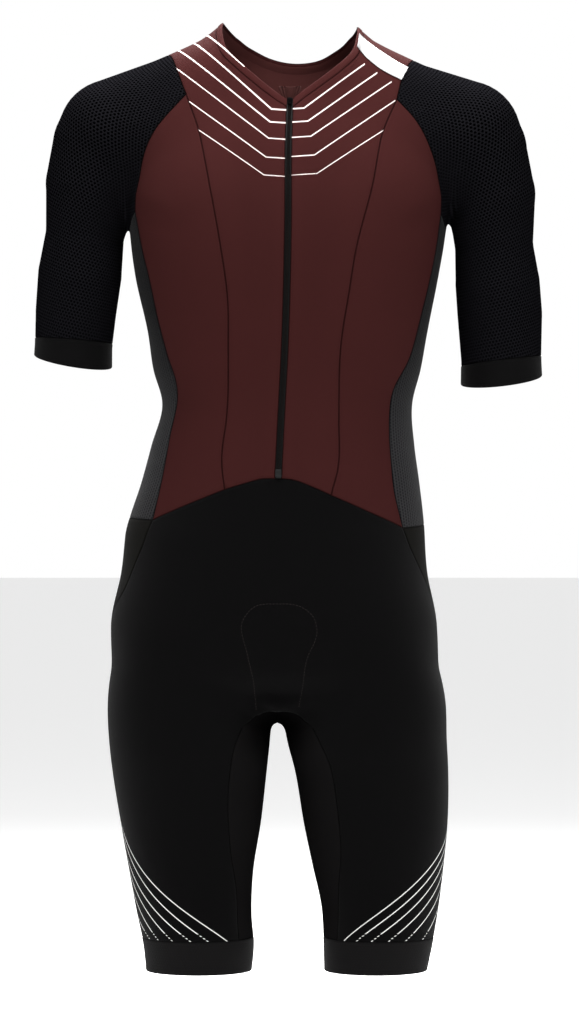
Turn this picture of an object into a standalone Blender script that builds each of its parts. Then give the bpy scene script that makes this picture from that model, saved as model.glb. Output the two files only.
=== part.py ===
"""Short-sleeved triathlon suit, hollow and held in its worn form, with no wearer.

Metres, +Z up. The front faces -Y and +X is the wearer's left. The origin lies between the shoulders,
where the suit hangs on its wearer, so a drop below the shoulders is a negative z.

Every cloth piece lies on one smooth form, `form()`, the outside of the suit: level sections for the
trunk and legs, and round beams for the shoulders and arms, blended where they meet. A seam is a short
list of places on that form, smoothed and evenly divided. A piece is a grid drawn between its seams,
given a wall inwards, and pulled back from each seam by half of the seam gap.
"""
import bmesh
import bpy
import numpy as np
from mathutils import Matrix, Vector

# ---- cloth and trims ------------------------------------------------------------------------------
CLOTH = 0.0013          # wall of the body, shorts and sleeve cloth
BAND_CLOTH = 0.0018     # wall of the cuffs and the leg bands, which are doubled
BINDING_CLOTH = 0.0022  # wall of the folded neck binding
PROUD = 0.0003          # how far a doubled band or a binding stands out past the single cloth
SEAM_GAP = 0.0003       # between two pieces at a seam, and under what lies on a panel
BINDING_WIDTH = 0.0075
ZIP_WIDTH = 0.0062      # the closed chain
ZIP_RAISED = 0.0011     # how far the chain stands out of the chest
ZIP_TAPE_WIDTH = 0.013  # each woven tape, from the middle of the chain
ZIP_TAPE_CLOTH = 0.001
SHOULDER_TAPE_LIFT = 0.0007
SHOULDER_TAPE_CLOTH = 0.001
SLIDER = (0.0080, 0.0115, 0.0030)  # width, height, thickness
STOP = (0.0062, 0.0085, 0.0013)

# ---- grid counts: pieces that share a seam share its places ---------------------------------------
NECK_FRONT = 5     # neck seam, zip to shoulder, each side
SHOULDER = 3       # shoulder seam
NECK_BACK = 8      # neck seam across the back
SLEEVE_UPPER = 3   # sleeve seam, shoulder to the top of the princess seam
SLEEVE_LOWER = 6   # sleeve seam on to the side panel
UNDERARM = 6       # sleeve seam under the arm
SLEEVE_BACK = 8    # sleeve seam up the back
BODY = 14          # princess and side seams, down to the waist
SLEEVE_ROWS = 12
SHORTS_UPPER = 9   # waist to crotch
SHORTS_LOWER = 9   # crotch to leg band
CROTCH = 6         # across under the crotch


def table(columns, rows):
    """Rows of numbers, kept with the names of their columns."""
    return {"columns": columns.split(), "rows": np.array(rows, float)}


# ---- the form: level sections ---------------------------------------------------------------------
# z, middle in x and y, half width, reach to the front and to the back of the middle, and power:
# 2 is an ellipse, more is squarer.
TRUNK = table("z x y half front back power", [
    (0.000, 0.0000, 0.015, 0.0500, 0.045, 0.055, 2.0),
    (-0.030, 0.0000, 0.010, 0.0940, 0.062, 0.070, 2.0),
    (-0.060, 0.0000, 0.008, 0.1240, 0.078, 0.082, 2.1),
    (-0.100, 0.0000, 0.004, 0.1480, 0.098, 0.096, 2.2),
    (-0.150, -0.0009, 0.000, 0.1604, 0.112, 0.108, 2.3),
    (-0.200, -0.0019, 0.000, 0.1570, 0.118, 0.112, 2.3),
    (-0.235, -0.0026, 0.000, 0.1517, 0.117, 0.109, 2.3),
    (-0.294, -0.0019, 0.000, 0.1394, 0.111, 0.099, 2.25),
    (-0.330, -0.0025, 0.000, 0.1335, 0.106, 0.091, 2.2),
    (-0.363, -0.0022, 0.000, 0.1250, 0.103, 0.086, 2.2),
    (-0.406, -0.0066, 0.000, 0.1315, 0.103, 0.088, 2.2),
    (-0.441, -0.0090, 0.000, 0.1386, 0.105, 0.094, 2.2),
    (-0.486, -0.0135, 0.000, 0.1481, 0.106, 0.106, 2.25),
    (-0.532, -0.0142, 0.000, 0.1506, 0.106, 0.118, 2.3),
    (-0.588, -0.0150, 0.002, 0.1570, 0.104, 0.122, 2.35),
    (-0.612, -0.0140, 0.003, 0.1500, 0.102, 0.119, 2.3),
    (-0.634, -0.0135, 0.005, 0.1350, 0.096, 0.110, 2.2),
    (-0.652, -0.0125, 0.008, 0.1120, 0.083, 0.094, 2.1),
])
LEG = {
    -1: table("z x y half front back power", [
        (-0.500, -0.0820, 0.006, 0.0640, 0.088, 0.092, 2.3),
        (-0.600, -0.0930, 0.008, 0.0797, 0.103, 0.108, 2.5),
        (-0.660, -0.0991, 0.008, 0.0827, 0.099, 0.104, 2.4),
        (-0.706, -0.1001, 0.008, 0.0800, 0.092, 0.095, 2.3),
        (-0.738, -0.0999, 0.009, 0.0764, 0.085, 0.085, 2.15),
        (-0.779, -0.0989, 0.010, 0.0708, 0.078, 0.077, 2.1),
        (-0.834, -0.0983, 0.011, 0.0618, 0.071, 0.069, 2.05),
        (-0.878, -0.0949, 0.011, 0.0571, 0.065, 0.063, 2.0),
        (-0.903, -0.0912, 0.011, 0.0554, 0.062, 0.060, 2.0),
        (-0.940, -0.0909, 0.011, 0.0518, 0.058, 0.057, 2.0),
    ]),
    1: table("z x y half front back power", [
        (-0.500, 0.0520, 0.006, 0.0560, 0.088, 0.092, 2.3),
        (-0.600, 0.0650, 0.008, 0.0765, 0.103, 0.108, 2.5),
        (-0.660, 0.0740, 0.008, 0.0820, 0.099, 0.104, 2.4),
        (-0.700, 0.0775, 0.008, 0.0800, 0.093, 0.096, 2.3),
        (-0.729, 0.0820, 0.009, 0.0770, 0.086, 0.086, 2.15),
        (-0.786, 0.0865, 0.010, 0.0717, 0.078, 0.077, 2.1),
        (-0.825, 0.0888, 0.011, 0.0658, 0.073, 0.071, 2.05),
        (-0.871, 0.0907, 0.011, 0.0582, 0.066, 0.064, 2.0),
        (-0.894, 0.0895, 0.011, 0.0556, 0.062, 0.060, 2.0),
        (-0.940, 0.0855, 0.011, 0.0503, 0.058, 0.057, 2.0),
    ]),
}
NECK = table("z x y half front back power", [
    (-0.090, 0.001, 0.022, 0.040, 0.046, 0.042, 2.0),
    (0.060, 0.001, 0.012, 0.046, 0.048, 0.044, 2.0),
])

# ---- the form: shoulder and arm beams, round across and ARM_DEPTH times as deep in y ---------------
ARM_DEPTH = 1.12
ARM = {
    -1: table("x y z radius", [
        (-0.0463, 0.014, -0.0361, 0.0498),
        (-0.1158, 0.010, -0.0667, 0.0503),
        (-0.1770, 0.008, -0.0932, 0.0545),
        (-0.1874, 0.009, -0.1043, 0.0496),
        (-0.1979, 0.012, -0.1431, 0.0465),
        (-0.2054, 0.016, -0.1948, 0.0393),
        (-0.2106, 0.021, -0.2336, 0.0419),
        (-0.2147, 0.026, -0.2696, 0.0405),
        (-0.2174, 0.030, -0.3050, 0.0387),
        (-0.2190, 0.034, -0.3450, 0.0400),
    ]),
    1: table("x y z radius", [
        (0.0472, 0.014, -0.0415, 0.0508),
        (0.1172, 0.010, -0.0719, 0.0504),
        (0.1765, 0.008, -0.0955, 0.0553),
        (0.1871, 0.009, -0.1099, 0.0507),
        (0.2021, 0.012, -0.1536, 0.0444),
        (0.2052, 0.016, -0.2056, 0.0391),
        (0.2091, 0.021, -0.2432, 0.0423),
        (0.2115, 0.026, -0.2732, 0.0425),
        (0.2131, 0.030, -0.320, 0.0401),
        (0.2140, 0.034, -0.360, 0.0415),
    ]),
}

ROUNDED_END = 0.028     # how far a row of level sections rounds over past its ends
SHOULDER_BLEND = 0.050  # width over which two forms run together
NECK_BLEND = 0.026
ARM_BLEND = 0.008       # at the armpit
HIP_BLEND = 0.030
LEG_BLEND = 0.012       # at the crotch

# ---- seams: places by x and z as seen from the front or the back ----------------------------------
ZIP_LINE = [(0.0005, -0.0650), (-0.0010, -0.110), (-0.0015, -0.190), (-0.0045, -0.308),
            (-0.0083, -0.382), (-0.0112, -0.4400)]
ZIP_FOOT = -0.4392
NECK_SEAM_Z = -0.0735  # at the zip
FRONT = {
    -1: {
        "neck": [(-0.0165, -0.0640), (-0.0340, -0.0500), (-0.0520, -0.0340), (-0.0665, -0.0190)],
        "sleeve_upper": [(-0.1180, -0.0180), (-0.1104, -0.0373), (-0.1022, -0.0593)],
        "sleeve_lower": [(-0.1022, -0.0593), (-0.1179, -0.0761), (-0.1329, -0.0945), (-0.1460, -0.1264),
                         (-0.1509, -0.1514), (-0.1529, -0.1740)],
        "princess": [(-0.1022, -0.0593), (-0.0890, -0.0983), (-0.0777, -0.1553), (-0.0668, -0.2163),
                     (-0.0610, -0.2581), (-0.0600, -0.3154), (-0.0620, -0.3818), (-0.0665, -0.4220),
                     (-0.0635, -0.4500)],
        "side": [(-0.1529, -0.1740), (-0.1478, -0.2021), (-0.1388, -0.2408), (-0.1289, -0.2862),
                 (-0.1210, -0.3159), (-0.1135, -0.3377), (-0.1145, -0.3810), (-0.1209, -0.4127),
                 (-0.1350, -0.4798)],
        "waist_side": [(-0.1350, -0.4798), (-0.1060, -0.4670), (-0.0768, -0.4552), (-0.0635, -0.4500)],
        "waist_middle": [(-0.0635, -0.4500), (-0.0386, -0.4425), (-0.0278, -0.4397), (-0.0145, ZIP_FOOT)],
        "hip": [(-0.1350, -0.4798), (-0.1430, -0.5005), (-0.1526, -0.5233), (-0.1650, -0.5513)],
        "inner_leg": [(-0.0459, -0.6820), (-0.0537, -0.7015), (-0.0597, -0.7371), (-0.0585, -0.8072),
                      (-0.0525, -0.8500), (-0.0502, -0.8975)],
    },
    1: {
        "neck": [(0.0150, -0.0640), (0.0310, -0.0520), (0.0490, -0.0380), (0.0655, -0.0220)],
        "sleeve_upper": [(0.1215, -0.0225), (0.1110, -0.0445), (0.1061, -0.0643)],
        "sleeve_lower": [(0.1061, -0.0643), (0.1239, -0.0840), (0.1389, -0.1121), (0.1469, -0.1395),
                         (0.1500, -0.1769)],
        "princess": [(0.1061, -0.0643), (0.0919, -0.0983), (0.0806, -0.1552), (0.0649, -0.2162),
                     (0.0581, -0.2581), (0.0513, -0.2999), (0.0484, -0.3818), (0.0480, -0.4250),
                     (0.0406, -0.4556)],
        "side": [(0.1500, -0.1769), (0.1421, -0.2274), (0.1321, -0.2701), (0.1191, -0.3187),
                 (0.1025, -0.3517), (0.0985, -0.3813), (0.1000, -0.4197), (0.1029, -0.4493),
                 (0.1119, -0.4877)],
        "waist_side": [(0.1119, -0.4877), (0.0780, -0.4719), (0.0406, -0.4556)],
        "waist_middle": [(0.0406, -0.4556), (0.0225, -0.4475), (0.0034, -0.4406), (-0.0079, ZIP_FOOT)],
        "hip": [(0.1119, -0.4877), (0.1180, -0.5040), (0.1250, -0.5194), (0.1370, -0.5456)],
        "inner_leg": [(0.0222, -0.6820), (0.0360, -0.7114), (0.0459, -0.7530), (0.0509, -0.8069),
                      (0.0485, -0.8500), (0.0472, -0.8975)],
    },
}
FRONT_MIDDLE = [(-0.0112, ZIP_FOOT), (-0.0120, -0.560), (-0.0123, -0.620), (-0.0123, -0.670)]
BACK = {
    -1: {
        "sleeve": [(-0.1500, -0.1650), (-0.1420, -0.1300), (-0.1330, -0.0900), (-0.1260, -0.0500)],
        "side": [(-0.1500, -0.1650), (-0.1430, -0.2200), (-0.1270, -0.2900), (-0.1100, -0.3500),
                 (-0.1110, -0.4000), (-0.1230, -0.4740)],
        "inner_leg": [(-0.0459, -0.6820), (-0.0560, -0.7100), (-0.0610, -0.7500), (-0.0600, -0.8100),
                      (-0.0545, -0.8500), (-0.0520, -0.8975)],
    },
    1: {
        "sleeve": [(0.1480, -0.1700), (0.1410, -0.1330), (0.1330, -0.0930), (0.1270, -0.0530)],
        "side": [(0.1480, -0.1700), (0.1400, -0.2250), (0.1220, -0.2950), (0.1020, -0.3550),
                 (0.0980, -0.4050), (0.1030, -0.4800)],
        "inner_leg": [(0.0222, -0.6820), (0.0350, -0.7100), (0.0460, -0.7500), (0.0505, -0.8100),
                      (0.0490, -0.8500), (0.0480, -0.8975)],
    },
}
NECK_BACK_SEAM = [(-0.0430, -0.0070), (-0.0225, -0.0170), (0.0056, -0.0225), (0.0340, -0.0185),
                  (0.0530, -0.0085)]
BACK_MIDDLE = [(-0.0095, -0.465), (-0.0120, -0.540), (-0.0123, -0.600), (-0.0123, -0.670)]
# Places by y and z, as seen from the wearer's side: the shorts' side seam below the hip.
THIGH_SIDE = [(-0.010, -0.578), (0.010, -0.610), (0.021, -0.655), (0.027, -0.710), (0.028, -0.780),
              (0.026, -0.840), (0.024, -0.8975)]
# Places by x and y, as seen from above: the ends of the shoulder seam.
SHOULDER_SEAM = {-1: [(-0.0725, 0.006), (-0.1225, 0.010)], 1: [(0.0735, 0.006), (0.1255, 0.010)]}
UNDERARM_DIP = {-1: [(-0.1585, -0.020, -0.188), (-0.1610, 0.010, -0.194), (-0.1570, 0.038, -0.184)],
                1: [(0.1555, -0.020, -0.191), (0.1580, 0.010, -0.197), (0.1545, 0.038, -0.187)]}
CROTCH_Y = (-0.045, 0.055)

# ---- sleeves, cuffs and hems ----------------------------------------------------------------------
# The sleeve's outer and inner lines as seen from the front, from the sleeve seam to the cuff seam.
SLEEVE_OUTER = {
    -1: [(-0.1225, -0.017), (-0.1760, -0.035), (-0.2055, -0.048), (-0.2315, -0.079), (-0.2415, -0.133),
         (-0.2440, -0.186), (-0.2480, -0.240), (-0.2545, -0.2965)],
    1: [(0.1255, -0.020), (0.1720, -0.036), (0.1995, -0.046), (0.2255, -0.075), (0.2400, -0.133),
        (0.2440, -0.195), (0.2500, -0.250), (0.2540, -0.3150)],
}
SLEEVE_INNER = {
    -1: [(-0.1610, -0.194), (-0.1690, -0.225), (-0.1730, -0.265), (-0.1785, -0.3030)],
    1: [(0.1580, -0.197), (0.1665, -0.230), (0.1690, -0.270), (0.1720, -0.3250)],
}
# The cuff's free edge: its middle in x and z, and how far it falls per metre inwards and to the front.
CUFF_EDGE = {-1: {"x": -0.2180, "z": -0.3200, "inward": 0.17, "forward": 0.16},
             1: {"x": 0.2135, "z": -0.3390, "inward": 0.12, "forward": 0.16}}
HEM_Z = -0.9310
SHOULDER_TAPE = {  # x and z, as seen from the front
    "upper": [(0.0690, 0.0060), (0.0900, -0.0105), (0.1070, -0.0213), (0.1175, -0.0268)],
    "lower": [(0.0668, -0.0060), (0.0730, -0.0140), (0.0903, -0.0290), (0.1105, -0.0400)],
}

COLOURS = {  # red, green, blue; roughness; metallic
    "maroon": ((0.085, 0.022, 0.024), 0.62, 0.0),
    "black": ((0.010, 0.010, 0.011), 0.55, 0.0),
    "knit": ((0.040, 0.040, 0.043), 0.70, 0.0),
    "mesh": ((0.012, 0.013, 0.017), 0.65, 0.0),
    "band": ((0.014, 0.014, 0.015), 0.50, 0.0),
    "white": ((0.75, 0.75, 0.74), 0.50, 0.0),
    "zip": ((0.015, 0.015, 0.016), 0.40, 0.0),
    "metal": ((0.060, 0.060, 0.065), 0.30, 1.0),
}


# ---- reading the form -----------------------------------------------------------------------------
def smooth(at, places, values):
    """Cubic curve through values given at rising places, each row of values read at once."""
    step = np.diff(places)[:, None]
    chord = np.diff(values, axis=0) / step
    slope = np.vstack([chord[:1], (chord[:-1] * step[1:] + chord[1:] * step[:-1])
                       / (step[1:] + step[:-1]), chord[-1:]])
    at = np.clip(at, places[0], places[-1])
    row = np.clip(np.searchsorted(places, at, side="right") - 1, 0, len(places) - 2)
    width = step[row]
    t = ((at - places[row])[:, None]) / width
    return ((2 * t**3 - 3 * t**2 + 1) * values[row] + (t**3 - 2 * t**2 + t) * width * slope[row]
            + (3 * t**2 - 2 * t**3) * values[row + 1] + (t**3 - t**2) * width * slope[row + 1])


def section(z, sections):
    """The columns of a table of level sections, read at heights z."""
    rows = sections["rows"][np.argsort(sections["rows"][:, 0])]
    return smooth(z, rows[:, 0], rows[:, 1:]).T, rows[0, 0], rows[-1, 0]


def level_form(points, sections):
    """How far points lie outside a body of level sections, measured from each section's middle."""
    (x, y, half, front, back, power), low, high = section(points[:, 2], sections)
    across = points[:, 0] - x
    along = points[:, 1] - y
    past = points[:, 2] - np.clip(points[:, 2], low, high)
    depth = np.where(along < 0, front, back)
    ring = (np.abs(across / half) ** power + np.abs(along / depth) ** power) ** (1 / power)
    ring = np.sqrt(ring**2 + (past / ROUNDED_END) ** 2) + 1e-9
    return np.sqrt(across**2 + along**2 + past**2) * (1 - 1 / ring)


def beam_form(points, beam):
    """How far points lie outside a row of balls joined by straight cones, deeper in y than across."""
    squash = np.array([1.0, 1 / ARM_DEPTH, 1.0])
    centres = beam["rows"][:, :3] * squash
    radii = beam["rows"][:, 3]
    run = np.diff(centres, axis=0)
    away = (points * squash)[:, None, :] - centres[None, :-1, :]
    share = np.clip((away * run).sum(2) / (run**2).sum(1), 0, 1)
    gap = np.linalg.norm(away - share[:, :, None] * run, axis=2) - (radii[:-1] + share * np.diff(radii))
    return gap.min(axis=1)


def blend(one, other, width):
    """The nearer of two distances, rounded over where they are within the width of each other."""
    near = np.maximum(width - np.abs(one - other), 0)
    return np.minimum(one, other) - near**2 / (4 * width)


def eased(value, low, high):
    """A share that rises softly from 0 at low to 1 at high."""
    share = np.clip((value - low) / (high - low), 0, 1)
    return share * share * (3 - 2 * share)


def form(points):
    """How far points lie outside the suit's outer face: below 0 inside it."""
    body = level_form(points, TRUNK)
    body = blend(body, level_form(points, NECK), NECK_BLEND)
    hip = LEG_BLEND + (HIP_BLEND - LEG_BLEND) * eased(points[:, 2], -0.700, -0.610)
    shoulder = ARM_BLEND + (SHOULDER_BLEND - ARM_BLEND) * eased(points[:, 2], -0.195, -0.075)
    for side in (-1, 1):
        body = blend(body, level_form(points, LEG[side]), hip)
    for side in (-1, 1):
        body = blend(body, beam_form(points, ARM[side]), shoulder)
    return body


def slope_of_form(points, step=0.0006):
    """Slope of form() at the points."""
    return np.stack([(form(points + step * axis) - form(points - step * axis)) / (2 * step)
                     for axis in np.eye(3)], axis=1)


def unit(vectors):
    """Vectors at length 1."""
    return vectors / (np.linalg.norm(vectors, axis=-1, keepdims=True) + 1e-12)


def outward(points):
    """Unit normals of the form at the points, whatever their array's shape."""
    return unit(slope_of_form(np.reshape(points, (-1, 3)))).reshape(np.shape(points))


def settle(points, rounds=9):
    """Points moved along the slope until they lie on the form, whatever their array's shape."""
    flat = np.array(points, float).reshape(-1, 3)
    for _ in range(rounds):
        slope = slope_of_form(flat)
        move = form(flat)[:, None] * slope / ((slope**2).sum(1)[:, None] + 1e-9)
        flat = flat - move * np.minimum(1, 0.02 / (np.linalg.norm(move, axis=1)[:, None] + 1e-12))
    return flat.reshape(np.shape(points))


def meet(starts, headings, reach=0.35, steps=280):
    """Where straight lines from the starts first cross the form, from outside in or inside out."""
    starts = np.array(starts, float)
    headings = np.broadcast_to(unit(np.array(headings, float)), starts.shape)
    along = np.linspace(0, reach, steps)
    line = starts[:, None, :] + along[None, :, None] * headings[:, None, :]
    outside = form(line.reshape(-1, 3)).reshape(len(starts), steps) > 0
    crossed = np.argmax(outside != outside[:, :1], axis=1)
    near, far = along[crossed - 1], along[crossed]
    for _ in range(18):
        middle = (near + far) / 2
        same = (form(starts + middle[:, None] * headings) > 0) == outside[:, 0]
        near = np.where(same, middle, near)
        far = np.where(same, far, middle)
    return starts + ((near + far) / 2)[:, None] * headings


def on_front(places):
    """Places given by x and z, laid on the front."""
    x, z = np.array(places, float).T
    return meet(np.stack([x, np.full_like(x, -0.26), z], 1), (0, 1, 0))


def on_back(places):
    """Places given by x and z, laid on the back."""
    x, z = np.array(places, float).T
    return meet(np.stack([x, np.full_like(x, 0.26), z], 1), (0, -1, 0))


def on_side(side, places):
    """Places given by y and z, laid on the outside of one leg or hip."""
    y, z = np.array(places, float).T
    return meet(np.stack([np.full_like(y, side * 0.28), y, z], 1), (-side, 0, 0))


def on_top(places):
    """Places given by x and y, laid on the shoulders from above."""
    x, y = np.array(places, float).T
    return meet(np.stack([x, y, np.full_like(x, 0.12)], 1), (0, 0, -1))


def curve(places, pieces, first=0.0, last=0.0):
    """A smooth line through places, divided into pieces and settled on the form.

    The pieces are equal, apart from a first or a last one of a given length.
    """
    places = np.array(places, float)
    run = np.concatenate([[0], np.cumsum(np.linalg.norm(np.diff(places, axis=0), axis=1))])
    fine = smooth(np.linspace(0, run[-1], 40 * len(places)), run, places)
    length = np.concatenate([[0], np.cumsum(np.linalg.norm(np.diff(fine, axis=0), axis=1))])
    even = np.linspace(first, length[-1] - last, pieces + 1 - (first > 0) - (last > 0))
    cuts = np.concatenate([[0] * (first > 0), even, [length[-1]] * (last > 0)])
    line = np.stack([np.interp(cuts, length, fine[:, axis]) for axis in range(3)], 1)
    return settle(line)


def around(one, other, columns, middle):
    """Rows of places going round an upright axis from one edge to the other.

    Angle, distance from the axis and height each change in equal shares from one[row] to other[row].
    """
    share = np.linspace(0, 1, columns + 1)[:, None]
    start = one[:, :2] - middle
    end = other[:, :2] - middle
    turn = np.arctan2(start[:, 0] * end[:, 1] - start[:, 1] * end[:, 0], (start * end).sum(1))
    angle = np.arctan2(start[:, 1], start[:, 0]) + share * turn
    radius = (1 - share) * np.linalg.norm(start, axis=1) + share * np.linalg.norm(end, axis=1)
    height = (1 - share) * one[:, 2] + share * other[:, 2]
    return np.stack([middle[:, 0] + radius * np.cos(angle), middle[:, 1] + radius * np.sin(angle),
                     height], axis=2)


def middle_of(sections, z):
    """The middle of level sections, as x and y, at heights z."""
    return section(np.array(z, float), sections)[0][:2].T


def trunk_middle(z):
    """The trunk's upright axis."""
    return middle_of(TRUNK, z)


def back_middle(z):
    """An axis well in front of the trunk's, for rows across the whole back."""
    return middle_of(TRUNK, z) - np.array([0, 0.06])


def shorts_middle(side):
    """The axis of one half of the shorts: the trunk's at the waist, the leg's from the crotch down."""
    def middle(z):
        share = eased(-np.array(z), 0.500, 0.660)[:, None]
        return (1 - share) * middle_of(TRUNK, z) + share * middle_of(LEG[side], z)
    return middle


def level_edge(one, other, pieces, sections):
    """An edge that goes round a body of level sections from one place to another."""
    middle = middle_of(sections, [(one[2] + other[2]) / 2])
    line = around(one[None], other[None], pieces, middle)[:, 0]
    centre = np.column_stack([np.repeat(middle, pieces + 1, 0), line[:, 2]])
    line = meet(centre, line - centre)
    line[0], line[-1] = one, other
    return line


def relax(grid, rounds, closed=False):
    """A grid [column, row] evened out on the form.

    In each round every inner place moves to the mean of its four neighbours and settles again. The
    edges stay. A closed grid's first and last column are the same places, and they move too.
    """
    for _ in range(rounds):
        wide = np.concatenate([grid[-2:-1], grid, grid[1:2]]) if closed else grid
        mean = (wide[:-2, 1:-1] + wide[2:, 1:-1] + wide[1:-1, :-2] + wide[1:-1, 2:]) / 4
        inner = grid[:, 1:-1] if closed else grid[1:-1, 1:-1]
        inner[:] = settle(mean, 3)
    return grid


def patch(left, right, top, bottom, middle):
    """A grid of places between four edges that share their corners: [column, row].

    The rows go round the middle, an upright axis, from the left edge to the right. What the first and
    last row then miss of the top and bottom edge is added to every row in falling shares, and all but
    the edges settle on the form and are evened out.
    """
    grid = around(left, right, len(top) - 1, middle((left[:, 2] + right[:, 2]) / 2))
    share = np.linspace(0, 1, len(left))[None, :, None]
    missed_top = (top - grid[:, 0])[:, None]
    missed_bottom = (bottom - grid[:, -1])[:, None]
    grid = grid + (1 - share) * missed_top + share * missed_bottom
    grid[1:-1, 1:-1] = settle(grid[1:-1, 1:-1])
    return relax(grid, 8)


# ---- the seams, laid on the form ------------------------------------------------------------------
def zip_place(z, sideways=0.0):
    """Places on the front by their height, beside the zip's middle line."""
    line = np.array(sorted(ZIP_LINE, key=lambda place: place[1]))
    x = smooth(np.atleast_1d(np.array(z, float)), line[:, 1], line[:, :1])[:, 0]
    return on_front(np.column_stack([x + sideways, np.atleast_1d(z)]))


def lay_seams():
    """Every seam as a row of places on the form, by side and name."""
    seams = {}
    for side in (-1, 1):
        front = {name: on_front(places) for name, places in FRONT[side].items()}
        back = {name: on_back(places) for name, places in BACK[side].items()}
        neck_end, sleeve_end = on_top(SHOULDER_SEAM[side])
        beside_zip = side * ZIP_WIDTH / 2
        zip_rows = np.linspace(NECK_SEAM_Z, ZIP_FOOT, SLEEVE_UPPER + BODY + 1)
        front["waist_middle"][-1] = zip_place(zip_rows[-1], beside_zip)[0]
        waist_end = level_edge(front["side"][-1], back["side"][-1], 2, TRUNK)
        hip = np.vstack([front["hip"], on_side(side, THIGH_SIDE)])
        crotch_front = on_front([FRONT_MIDDLE[-1]])[0]
        crotch_back = on_back([BACK_MIDDLE[-1]])[0]
        under = meet([(FRONT_MIDDLE[-1][0], y, -0.80) for y in CROTCH_Y], (0, 0, 1))
        lower = SHORTS_LOWER - 2
        laid = {
            "zip": zip_place(zip_rows, beside_zip),
            "neck": curve(np.vstack([zip_place(NECK_SEAM_Z, beside_zip), front["neck"], neck_end]),
                          NECK_FRONT, first=ZIP_TAPE_WIDTH - ZIP_WIDTH / 2),
            "shoulder": curve([neck_end, sleeve_end], SHOULDER),
            "sleeve_upper": curve(np.vstack([sleeve_end, front["sleeve_upper"]]), SLEEVE_UPPER),
            "sleeve_lower": curve(front["sleeve_lower"], SLEEVE_LOWER),
            "underarm": curve(np.vstack([front["sleeve_lower"][-1], UNDERARM_DIP[side],
                                         back["sleeve"][0]]), UNDERARM),
            "sleeve_back": curve(np.vstack([back["sleeve"], sleeve_end]), SLEEVE_BACK),
            "princess": curve(front["princess"], BODY),
            "side": curve(front["side"], BODY),
            "back_side": curve(back["side"], BODY),
            "waist_side": curve(front["waist_side"], SLEEVE_LOWER),
            "waist_middle": curve(front["waist_middle"], NECK_FRONT + SHOULDER,
                                  last=ZIP_TAPE_WIDTH - ZIP_WIDTH / 2),
            "waist_hip": level_edge(waist_end[0], waist_end[-1], UNDERARM, TRUNK),
            "waist_back": level_edge(back["side"][-1], on_back([BACK_MIDDLE[0]])[0],
                                     NECK_BACK // 2 + SHOULDER, TRUNK),
            "hip": curve(hip, SHORTS_UPPER + SHORTS_LOWER),
            "inner_front": np.vstack([curve([crotch_front, front["inner_leg"][0]], 2)[:-1],
                                      curve(front["inner_leg"], lower)]),
            "inner_back": np.vstack([curve([crotch_back, back["inner_leg"][0]], 2)[:-1],
                                     curve(back["inner_leg"], lower)]),
            "crotch": curve(np.vstack([crotch_front, under, crotch_back]), CROTCH),
        }
        laid["band_front"] = level_edge(laid["hip"][-1], laid["inner_front"][-1],
                                        SLEEVE_LOWER + NECK_FRONT + SHOULDER, LEG[side])
        laid["band_inner"] = level_edge(laid["inner_front"][-1], laid["inner_back"][-1], CROTCH,
                                        LEG[side])
        laid["band_back"] = level_edge(laid["hip"][-1], laid["inner_back"][-1],
                                       UNDERARM + NECK_BACK // 2 + SHOULDER, LEG[side])
        seams[side] = laid
    neck_ends = [seams[side]["neck"][-1] for side in (-1, 1)]
    neck_back = curve(np.vstack([neck_ends[0], on_back(NECK_BACK_SEAM), neck_ends[1]]), NECK_BACK)
    for side in (-1, 1):
        seams[side]["neck_back"] = neck_back[::-side]
        seams[side]["front_middle"] = curve(on_front(FRONT_MIDDLE), SHORTS_UPPER)
        seams[side]["back_middle"] = curve(on_back(BACK_MIDDLE), SHORTS_UPPER)
    return seams


# ---- solids ---------------------------------------------------------------------------------------
def material(colour):
    """The named finish, made once."""
    if colour in bpy.data.materials:
        return bpy.data.materials[colour]
    finish = bpy.data.materials.new(colour)
    finish.use_nodes = True
    (red, green, blue), roughness, metallic = COLOURS[colour]
    shader = finish.node_tree.nodes["Principled BSDF"]
    shader.inputs["Base Color"].default_value = (red, green, blue, 1)
    shader.inputs["Roughness"].default_value = roughness
    shader.inputs["Metallic"].default_value = metallic
    return finish


def add_object(name, mesh, colour):
    """An object for a mesh, smooth over gentle bends, in the named finish."""
    thing = bpy.data.objects.new(name, mesh)
    bpy.context.scene.collection.objects.link(thing)
    mesh.materials.append(material(colour))
    mesh.shade_smooth()
    mesh.set_sharp_from_angle(angle=np.radians(35))
    return thing


def knit(grids):
    """Grids [column, row] as one set of places and triangles, equal places joined.

    Each square is cut along its shorter diagonal, and the triangles face out of the form.
    """
    places = np.vstack([grid.reshape(-1, 3) for grid in grids])
    corners = []
    first = 0
    for grid in grids:
        columns, rows = grid.shape[:2]
        index = first + np.arange(columns * rows).reshape(columns, rows)
        facing = np.cross(grid[1:, :-1] - grid[:-1, :-1], grid[:-1, 1:] - grid[:-1, :-1])
        if (facing * outward(grid[:-1, :-1])).sum() < 0:
            index = index[::-1]
        corners.append(np.stack([index[:-1, :-1], index[1:, :-1], index[1:, 1:], index[:-1, 1:]],
                                axis=2).reshape(-1, 4))
        first += columns * rows
    corners = np.vstack(corners)
    _, keep, same = np.unique(np.round(places, 6), axis=0, return_index=True, return_inverse=True)
    places = places[keep]
    corners = same.reshape(-1)[corners]
    a, b, c, d = places[corners].transpose(1, 0, 2)
    short = (np.linalg.norm(a - c, axis=1) <= np.linalg.norm(b - d, axis=1))[:, None]
    one = np.where(short, corners[:, [0, 1, 2]], corners[:, [0, 1, 3]])
    other = np.where(short, corners[:, [0, 2, 3]], corners[:, [1, 2, 3]])
    return places, np.vstack([one, other])


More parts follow.
